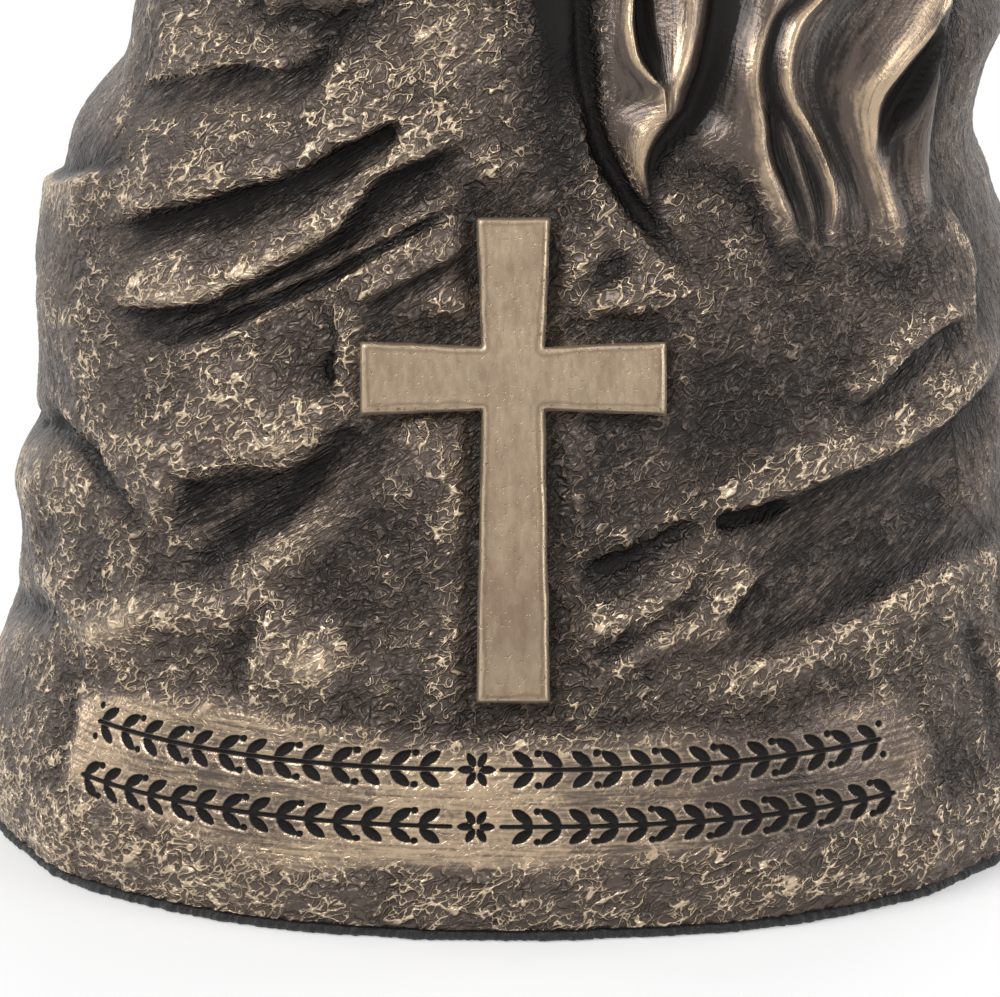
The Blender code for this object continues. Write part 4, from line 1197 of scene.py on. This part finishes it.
def leaf_distance(root, lean, size, u, v):
    """Distance outside an almond-shaped leaf that grows from its root."""
    length, width = size
    du, dv = u - root[0], v - root[1]
    along = du * math.cos(lean) + dv * math.sin(lean) - length / 2
    across = -du * math.sin(lean) + dv * math.cos(lean)
    bow = (length**2 / 4 - width**2 / 4) / width
    return np.hypot(along, np.abs(across) + bow) - (bow + width / 2)


def engraving(u, v):
    """Distance outside the engraved laurel, negative in its grooves."""
    nearest = np.full(u.shape, 9.0)
    stems, leaves, berries = laurel_parts()
    for stem in stems:
        distance, _, _ = path_distance(stem, u, v)
        nearest = np.minimum(nearest, distance - STEM_WIDTH)
    for root, lean, size in leaves:
        near = (np.abs(u - root[0]) < 5) & (np.abs(v - root[1]) < 5)
        nearest[near] = np.minimum(nearest[near], leaf_distance(root, lean, size, u[near], v[near]))
    for at, level in berries:
        near = (np.abs(u - at) < 3) & (np.abs(v - level) < 3)
        nearest[near] = np.minimum(nearest[near], np.hypot(u[near] - at, v[near] - level) - BERRY_RADIUS)
    return nearest


def make_band(material):
    """The worn band with its engraved ornament, in a patch of finer mesh let into the rock."""
    us = np.arange(BAND_SPAN[0], BAND_SPAN[1] + BAND_STEP, BAND_STEP)
    vs = np.arange(BAND_RISE[0], BAND_RISE[1] + BAND_STEP, BAND_STEP)
    u, v = np.meshgrid(us, vs)
    form = rock_form(u, v)
    layers = surface_layers(u, v, form)
    groove = engraving(u, v)
    layers["groove"] = 1 - groove
    dip = BAND_DIP * blend(0.9, 0.0, patch_inset(u, v))
    radius = form["radius"] - dip - GROOVE_DEPTH * blend(0.12, -0.28, groove)
    places = round_places(radius, u, v).reshape(-1, 3)
    rows, count = u.shape
    faces = grid_faces(rows, count, closed=False)
    smooth = len(faces)
    rim = [*range(count), *(r * count + count - 1 for r in range(1, rows))]
    rim += [*((rows - 1) * count + c for c in range(count - 2, -1, -1))]
    rim += [*(r * count for r in range(rows - 2, 0, -1))]
    inner = places[rim]
    flat = np.hypot(inner[:, 0], inner[:, 1])
    inner[:, :2] *= ((flat - BAND_ROOT) / flat)[:, None]
    first, total = len(places), len(rim)
    for i in range(total):
        j = (i + 1) % total
        faces.append((rim[j], rim[i], first + i, first + j))
    places = np.vstack([places, inner])
    faces += back_faces(rows, count, first)
    mesh = build_mesh("band", places, faces)
    mesh.polygons.foreach_set("use_smooth", np.arange(len(faces)) < smooth)
    store_layers(mesh, places, layers, total)
    return wrinkle_surface(add_piece("band", mesh, material), WRINKLE_RISE)


def back_faces(rows, count, first):
    """Strips that close the patch behind, between the upper and lower rows of its rim."""
    lower = [first + c for c in range(count)]
    upper = [first + count + rows - 2 + (count - 1 - c) for c in range(count)]
    return [(lower[c + 1], lower[c], upper[c], upper[c + 1]) for c in range(count - 1)]


def make_pad(material):
    """The felt pad: a flat slab with a fuzzy edge."""
    angles = np.linspace(-180, 180, 1440, endpoint=False)
    edge = rock_form(angles, np.full(angles.shape, ROCK_FOOT))["radius"]
    broad, fine = (np.array([noise.noise(Vector((a * scale, layer, 0))) for a in angles])
                   for scale, layer in ((1.7, 0.3), (6.1, 4.3)))
    fuzz = PAD_FUZZ * (broad + 0.6 * fine)
    rings = []
    for z, out in ((0.0, -0.5), (0.15, -0.1), (0.6, 0.25), (1.05, 0.0), (PAD_THICKNESS, -0.6)):
        rings.append(round_places(edge + out + fuzz, angles, np.full(angles.shape, z)))
    places = np.vstack(rings)
    count = len(angles)
    faces = grid_faces(len(rings), count)
    faces.append(tuple(range(count - 1, -1, -1)))
    faces.append(tuple(range((len(rings) - 1) * count, len(rings) * count)))
    mesh = build_mesh("felt", places, faces)
    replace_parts(add_piece("felt", mesh, material), "felt_pad")


class Field:
    """Distances to a growing solid on a grid, negative inside it."""

    def __init__(self, low, high, step):
        self.low, self.step = np.array(low, float), step
        counts = np.ceil((np.array(high) - self.low) / step).astype(int) + 1
        self.axes = [self.low[i] + step * np.arange(counts[i]) for i in range(3)]
        self.values = np.full(counts, FAR, np.float32)

    def part(self, low, high):
        """The slice of the grid in a box, and its points."""
        spans = []
        for axis, a, b in zip(self.axes, low, high):
            spans.append(slice(*np.searchsorted(axis, (a, b))))
        x, y, z = np.meshgrid(*(a[s] for a, s in zip(self.axes, spans)), indexing="ij")
        return tuple(spans), np.stack([x, y, z], axis=-1)

    def grow(self, shape, low, high, ease=0.0):
        """Add a shape, with a fillet of about ease where it meets the rest."""
        spans, points = self.part(low, high)
        if points.size:
            self.values[spans] = smooth_least(self.values[spans], shape(points), ease)

    def carve(self, shape, low, high, ease=0.0):
        spans, points = self.part(low, high)
        if points.size:
            self.values[spans] = -smooth_least(-self.values[spans], shape(points), ease)

    def at(self, places):
        """Distances at places, between the grid's points."""
        spot = np.clip((places - self.low) / self.step, 0, np.array(self.values.shape) - 1.001)
        base = spot.astype(int)
        part = spot - base
        total = 0.0
        for corner in np.ndindex(2, 2, 2):
            weight = np.prod(np.where(corner, part, 1 - part), axis=1)
            total = total + weight * self.values[tuple((base + corner).T)]
        return total

    def slopes(self, places, reach):
        steps = np.eye(3) * reach
        parts = [self.at(places + s) - self.at(places - s) for s in steps]
        slope = np.stack(parts, axis=-1)
        return slope / np.maximum(np.linalg.norm(slope, axis=1, keepdims=True), 1e-9)


def smooth_least(a, b, ease):
    if ease <= 0:
        return np.minimum(a, b)
    near = np.maximum(ease - np.abs(a - b), 0.0) / ease
    return np.minimum(a, b) - near * near * ease * 0.25


def cone_shape(start, end):
    """Round cone between two joints."""
    a, b = np.array(start[:3]), np.array(end[:3])
    run = b - a
    length = max(float(run @ run), 1e-9)

    def shape(points):
        off = points - a
        t = np.clip(off @ run / length, 0.0, 1.0)
        radius = start[3] + (end[3] - start[3]) * t
        return np.linalg.norm(off - t[..., None] * run, axis=-1) - radius

    return shape


def ball_shape(centre, radii, turn=np.eye(3)):
    """Ellipsoid whose own axes are the rows of turn."""
    centre, radii = np.array(centre, float), np.array(radii, float)

    def shape(points):
        local = (points - centre) @ turn.T / radii
        size = np.linalg.norm(local, axis=-1)
        steep = np.linalg.norm(local / radii, axis=-1)
        return size * (size - 1) / np.maximum(steep, 1e-6)

    return shape


def grow_chain(field, chain, ease, mirror=1, margin=4.0):
    joints = [np.array((mirror * x, y, z, r)) + (*FIGURE_AT, 0) for x, y, z, r in chain]
    for start, end in zip(joints, joints[1:]):
        reach = max(start[3], end[3]) + margin + ease
        low = np.minimum(start[:3], end[:3]) - reach
        high = np.maximum(start[:3], end[:3]) + reach
        field.grow(cone_shape(start, end), low, high, ease)


def grow_fold(field, chain, ease):
    """A chain that is made whole first, so that its joints don't swell."""
    joints = [np.array(joint) + (*FIGURE_AT, 0) for joint in chain]
    shapes = [cone_shape(start, end) for start, end in zip(joints, joints[1:])]
    reach = max(joint[3] for joint in joints) + 4.0 + ease
    low, high = np.min(joints, axis=0)[:3] - reach, np.max(joints, axis=0)[:3] + reach
    field.grow(lambda points: np.minimum.reduce([shape(points) for shape in shapes]), low, high, ease)


def net_surface(field):
    """Vertices and quads of the field's zero level."""
    values = field.values
    inside = values < 0
    shape = np.array(values.shape) - 1
    corners = [np.array(c) for c in np.ndindex(2, 2, 2)]
    count = np.zeros(shape, np.int8)
    for c in corners:
        count += inside[c[0]:c[0] + shape[0], c[1]:c[1] + shape[1], c[2]:c[2] + shape[2]]
    active = (count > 0) & (count < 8)
    cells = np.argwhere(active)
    total = np.zeros((len(cells), 3))
    hits = np.zeros(len(cells))
    for a in corners:
        for axis in range(3):
            if a[axis]:
                continue
            b = a + np.eye(3, dtype=int)[axis]
            va, vb = values[tuple((cells + a).T)], values[tuple((cells + b).T)]
            crossed = (va < 0) != (vb < 0)
            t = np.where(crossed, va / np.where(crossed, va - vb, 1.0), 0.0)
            total += crossed[:, None] * (a + t[:, None] * (b - a))
            hits += crossed
    places = (cells + total / hits[:, None]) * field.step + field.low
    numbers = np.full(shape, -1)
    numbers[active] = np.arange(len(cells))
    quads = []
    for axis in range(3):
        u, v = [i for i in range(3) if i != axis]
        start = [slice(None)] * 3
        start[u] = start[v] = slice(1, -1)
        end = list(start)
        start[axis], end[axis] = slice(0, -1), slice(1, None)
        first, second = inside[tuple(start)], inside[tuple(end)]
        for rising in (True, False):
            found = np.argwhere((second & ~first) if rising else (first & ~second))
            ring = []
            for du, dv in ((0, 0), (1, 0), (1, 1), (0, 1)):
                cell = found.copy()
                cell[:, u] += du
                cell[:, v] += dv
                ring.append(numbers[tuple(cell.T)])
            flip = rising != (axis == 1)
            quads.append(np.stack(ring[::-1] if flip else ring, axis=-1))
    return places, np.vstack(quads)


def settle(field, places, rounds=2):
    """Move vertices onto the field's zero level."""
    for _ in range(rounds):
        away = field.at(places)[:, None]
        places = places - np.clip(away, -0.5, 0.5) * field.slopes(places, field.step * 0.6)
    return places


def finish_field(name, field, material, wear_and_light, rubbed):
    """Mesh a field, with wear on thin and bent parts, painted top light on upward faces, and dark patina and
    painted shade in its hollows and inner bends.
    """
    places, quads = net_surface(field)
    places = settle(field, places)
    mesh = build_mesh(name, places, quads.tolist())
    normals = field.slopes(places, field.step)
    hollow = np.zeros(len(places))
    proud = np.zeros(len(places))
    for reach in HOLLOW_REACHES:
        hollow += np.clip(1 - field.at(places + normals * reach) / reach, 0, 1) / len(HOLLOW_REACHES)
    for reach in PROUD_REACHES:
        proud += np.clip(1 + field.at(places - normals * reach) / reach, 0, 1) / len(PROUD_REACHES)
    store(mesh, "rest", places)
    store(mesh, "flow", places * FIGURE_GRAIN)
    store(mesh, "sleek", np.full(len(places), FIGURE_SLEEK))
    bend = np.zeros(len(places))
    for step in (*np.eye(3), *-np.eye(3)):
        bend += field.at(places + BEND_REACH * step) / 6 / BEND_FULL
    # Upward faces get painted top light; hollows, measured by how closed in each point is, get dark patina
    # and painted shade
    gold = (0.4 + rubbed) * np.clip(proud, 0, 0.3) + rubbed * np.clip(bend - 0.3, 0, 1)
    store(mesh, "wear_and_light", wear_and_light + gold + 0.12 * np.clip(normals[:, 2], 0, 1) - 0.3 * hollow)
    store(mesh, "patina_and_shade", 1.2 * hollow + 0.5 * rubbed * np.clip(-bend, 0, 1))
    return add_piece(name, mesh, material)


def add_creases(finger, chain, mirror):
    """A crease across the inner side of a finger at each joint, and a nail on its back."""
    for joint in chain[1:-1]:
        x, y, z, r = joint
        sides = [(x + side * 0.7 * r, y - 0.86 * r, z, 0.2) for side in (-1, 1)]
        ends = (sides[0], (x, y - 1.12 * r, z - 0.3, 0.5), sides[1])
        places = [np.array((mirror * a, b, c, size)) + (*FIGURE_AT, 0) for a, b, c, size in ends]
        for start, end in zip(places, places[1:]):
            low, high = np.minimum(start, end)[:3] - r, np.maximum(start, end)[:3] + r
            finger.carve(cone_shape(start, end), low, high, CREASE_EASE)
    x, y, z, r = chain[-1]
    nail = np.array((mirror * x, y + 0.62 * r, z + 0.1 * r)) + FIGURE_AT
    finger.grow(ball_shape(nail, (0.62 * r, 0.5 * r, 0.8 * r)), nail - 2 * r, nail + 2 * r, 0.25)


def make_hands(material):
    field = Field(*HAND_BOX, HAND_STEP)
    for mirror in (1, -1):
        for chain in PALM_CHAINS:
            grow_chain(field, smooth_path(chain, CHAIN_STEPS), PALM_EASE, mirror)
    for mirror in (1, -1):
        for chain in FINGER_CHAINS:
            finger = Field(*HAND_BOX, HAND_STEP)
            grow_chain(finger, smooth_path(chain, FINGER_STEPS), 1.0, mirror)
            for joint in chain[1:-1]:
                swell = np.array((mirror * joint[0], joint[1], joint[2])) + FIGURE_AT
                r = joint[3]
                knuckle = ball_shape(swell, (r * 1.05, r * 1.05, r * 0.9))
                finger.grow(knuckle, swell - 2 * r, swell + 2 * r, KNUCKLE_EASE)
            add_creases(finger, chain, mirror)
            ease = THUMB_EASE if chain is FINGER_CHAINS[-1] else FINGER_EASE
            field.values = smooth_least(field.values, finger.values, ease)
    return finish_field("hands", field, material, *HAND_WEAR)


def head_axes():
    face = np.array(HEAD_FACE) / np.linalg.norm(HEAD_FACE)
    up = np.array(HEAD_UP) - np.dot(HEAD_UP, face) * face
    up /= np.linalg.norm(up)
    return np.stack([np.cross(up, face), face, up])


def grow_head(field):
    """A sleeping baby's head, its face on plain proportions."""
    turn = head_axes()
    centre = np.array(HEAD_AT) + FIGURE_AT
    low, high = centre - 24, centre + 24

    def place(side, out, up):
        return centre + HEAD_SCALE * np.array((side, out, up)) @ turn

    def grow(at, radii, ease):
        field.grow(ball_shape(place(*at), HEAD_SCALE * np.array(radii), turn), low, high, ease)

    def carve(at, radii, ease):
        field.carve(ball_shape(place(*at), HEAD_SCALE * np.array(radii), turn), low, high, ease)

    grow((0, -1.0, 2.2), (11.0, 12.4, 11.0), 0)
    grow((0, 3.6, -4.0), (8.8, 7.6, 8.2), 4.0)
    grow((0, 8.0, -9.4), (3.0, 2.6, 2.4), 3.0)
    for side in (-1, 1):
        grow((side * 4.9, 6.4, -5.2), (4.0, 3.9, 3.9), 2.5)
    for side in (-1, 1):
        carve((side * 4.1, 12.4, 0.1), (2.9, 2.0, 1.8), 1.6)
        grow((side * 4.1, 9.0, -0.1), (2.5, 1.9, 1.75), 0.8)
        grow((side * 4.1, 9.1, 3.0), (3.4, 1.0, 0.8), 2.4)
    grow((0, 10.4, -0.6), (1.3, 1.3, 3.0), 1.4)
    grow((0, 11.9, -2.9), (1.45, 1.5, 1.3), 1.0)
    for side in (-1, 1):
        grow((side * 1.35, 11.2, -3.2), (0.95, 1.0, 0.85), 0.6)
        carve((side * 0.75, 12.0, -4.15), (0.4, 0.5, 0.3), 0.2)
    grow((0, 10.3, -5.7), (2.3, 1.5, 0.85), 0.7)
    grow((0, 10.2, -7.2), (1.9, 1.4, 0.85), 0.7)
    for side in (-1, 1):
        lid = ((1.7, 10.6, -0.2), (4.1, 11.25, -0.95), (6.3, 9.9, -0.3))
        carve_line(field, [(side * s, out, up, 0.22) for s, out, up in lid], place, low, high)
    mouth = [(s, o, u, 0.25) for s, o, u in ((-2.3, 10.9, -6.3), (0, 11.95, -6.45), (2.3, 10.9, -6.3))]
    carve_line(field, mouth, place, low, high)
    for side in (-1, 1):
        grow((side * 11.0, -1.0, -0.6), (1.5, 2.3, 3.3), 0.8)
        carve((side * 12.3, -0.4, -0.4), (0.8, 1.2, 1.9), 0.5)


def carve_line(field, run, place, low, high):
    """A thin groove through places on the head."""
    points = smooth_path([(*place(*p[:3]), p[3]) for p in run], FINGER_STEPS)
    for start, end in zip(points, points[1:]):
        field.carve(cone_shape(start, end), low, high, 0.25)


def make_baby(material):
    field = Field(*BABY_BOX, BABY_STEP)
    for chain in BODY_CHAINS:
        grow_chain(field, smooth_path(chain, CHAIN_STEPS), BODY_EASE)
    head = Field(*BABY_BOX, BABY_STEP)
    grow_head(head)
    field.values = smooth_least(field.values, head.values, NECK_EASE)
    arm = Field(*BABY_BOX, BABY_STEP)
    for chain in ARM_CHAINS:
        grow_chain(arm, smooth_path(chain, CHAIN_STEPS), 1.0)
    grow_small_hand(arm)
    field.values = smooth_least(field.values, arm.values, ARM_EASE)
    grow_feet(field)
    return finish_field("baby", field, material, *BABY_WEAR)


def grow_small_hand(field):
    """The baby's loosely closed hand beside its cheek."""
    grow_chain(field, SMALL_PALM, 1.0)
    for dx, dz in SMALL_FINGERS:
        x, y, z = SMALL_PALM[0][0] + dx, SMALL_PALM[0][1] - 0.6, SMALL_PALM[0][2] + dz
        grow_chain(field, ((x + 1.2, y - 0.2, z - 0.4, 1.35), (x - 0.6, y - 1.9, z + 0.3, 1.3),
                           (x + 0.2, y - 3.1, z - 1.2, 1.15)), 0.25)


def grow_feet(field):
    """Two small feet that show at the end of the cloth, lying on their sides."""
    for chain in FOOT_CHAINS:
        grow_chain(field, smooth_path(chain, CHAIN_STEPS), 1.0)
        x, y, z, _ = chain[-1]
        for out, up, size in TOES:
            grow_chain(field, ((x + 0.5, y, z + 0.8 * up, size), (x + out, y - 1.6, z + up, size)), 0.12)


def make_blanket(material):
    field = Field(*BLANKET_BOX, BLANKET_STEP)
    for chain in LAP_CHAINS:
        grow_chain(field, smooth_path(chain, CHAIN_STEPS), LAP_EASE)
    for chain in WRAP_CHAINS:
        grow_chain(field, smooth_path(chain, CHAIN_STEPS), WRAP_EASE)
    for chain in SWEEP_CHAINS:
        grow_fold(field, smooth_path(chain, CHAIN_STEPS), SWEEP_EASE)
    return finish_field("blanket", field, material, *BLANKET_WEAR)


def seen_nodes(graph):
    """1 where the background is seen by the camera, in a reflection or through glass."""
    rays = graph.tree.nodes.new("ShaderNodeLightPath")
    seen = graph.math("MAXIMUM", rays.outputs["Is Camera Ray"], rays.outputs["Is Glossy Ray"])
    return graph.math("MAXIMUM", seen, rays.outputs["Is Transmission Ray"])


def make_stage():
    """A pale floor that turns white away from the statue."""
    mesh = bpy.data.meshes.new("floor")
    half = FLOOR_HALF
    corners = [(-half, -half, 0), (half, -half, 0), (half, half, 0), (-half, half, 0)]
    mesh.from_pydata(corners, [], [(0, 1, 2, 3)])
    floor = bpy.data.objects.new("floor", mesh)
    bpy.context.scene.collection.objects.link(floor)
    material, graph, shader = new_material("pale floor")
    tree = material.node_tree
    shader.inputs["Base Color"].default_value = (0.9, 0.9, 0.905, 1)
    shader.inputs["Roughness"].default_value = 0.8
    glow = tree.nodes.new("ShaderNodeEmission")
    place = graph.add("ShaderNodeNewGeometry")
    far = graph.add("ShaderNodeVectorMath", {0: place}, output=1, operation="LENGTH")
    white = graph.remap(far, *FLOOR_FADE, 0.4, 1.0, smooth=True)
    share = graph.math("MULTIPLY", white, seen_nodes(graph))
    mixer = tree.nodes.new("ShaderNodeMixShader")
    tree.links.new(share, mixer.inputs[0])
    tree.links.new(shader.outputs[0], mixer.inputs[1])
    tree.links.new(glow.outputs[0], mixer.inputs[2])
    tree.links.new(mixer.outputs[0], tree.nodes["Material Output"].inputs["Surface"])
    mesh.materials.append(material)


def add_softbox(name, place, aim, size, watts):
    data = bpy.data.lights.new(name, "AREA")
    data.shape = "RECTANGLE"
    data.size, data.size_y = size
    data.energy = watts
    lamp = bpy.data.objects.new(name, data)
    bpy.context.scene.collection.objects.link(lamp)
    lamp.location = place
    lamp.rotation_euler = (Vector(aim) - Vector(place)).to_track_quat("-Z", "Y").to_euler()


def make_light():
    world = bpy.data.worlds.new("studio")
    bpy.context.scene.world = world
    world.use_nodes = True
    graph = Graph(world.node_tree)
    seen = seen_nodes(graph)
    back = world.node_tree.nodes["Background"]
    back.inputs["Color"].default_value = (1, 1, 1, 1)
    world.node_tree.links.new(graph.remap(seen, 0.0, 1.0, SHADE_LIGHT, 1.0), back.inputs["Strength"])
    for lamp in LAMPS:
        add_softbox(*lamp)


def make_camera():
    data = bpy.data.cameras.new("camera")
    data.sensor_fit = "HORIZONTAL"
    data.sensor_width = SENSOR_WIDTH
    data.lens = CAMERA_LENS
    data.clip_start = 0.05
    camera = bpy.data.objects.new("camera", data)
    bpy.context.scene.collection.objects.link(camera)
    camera.location = Vector(CAMERA_AT) * MM
    aim = Vector(CAMERA_AIM) - Vector(CAMERA_AT)
    camera.rotation_euler = aim.to_track_quat("-Z", "Y").to_euler()
    bpy.context.scene.camera = camera


def main():
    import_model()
    bpy.context.scene.view_settings.view_transform = "Standard"
    bronze = bronze_material()
    pieces = make_rock(bronze)
    pieces += [make_band(bronze), make_cross(cross_material())]
    pieces += [make(bronze) for make in (make_hands, make_baby, make_blanket)]
    for piece in pieces:
        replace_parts(piece, "statue")
    make_pad(felt_material())
    make_stage()
    make_light()
    make_camera()


main()
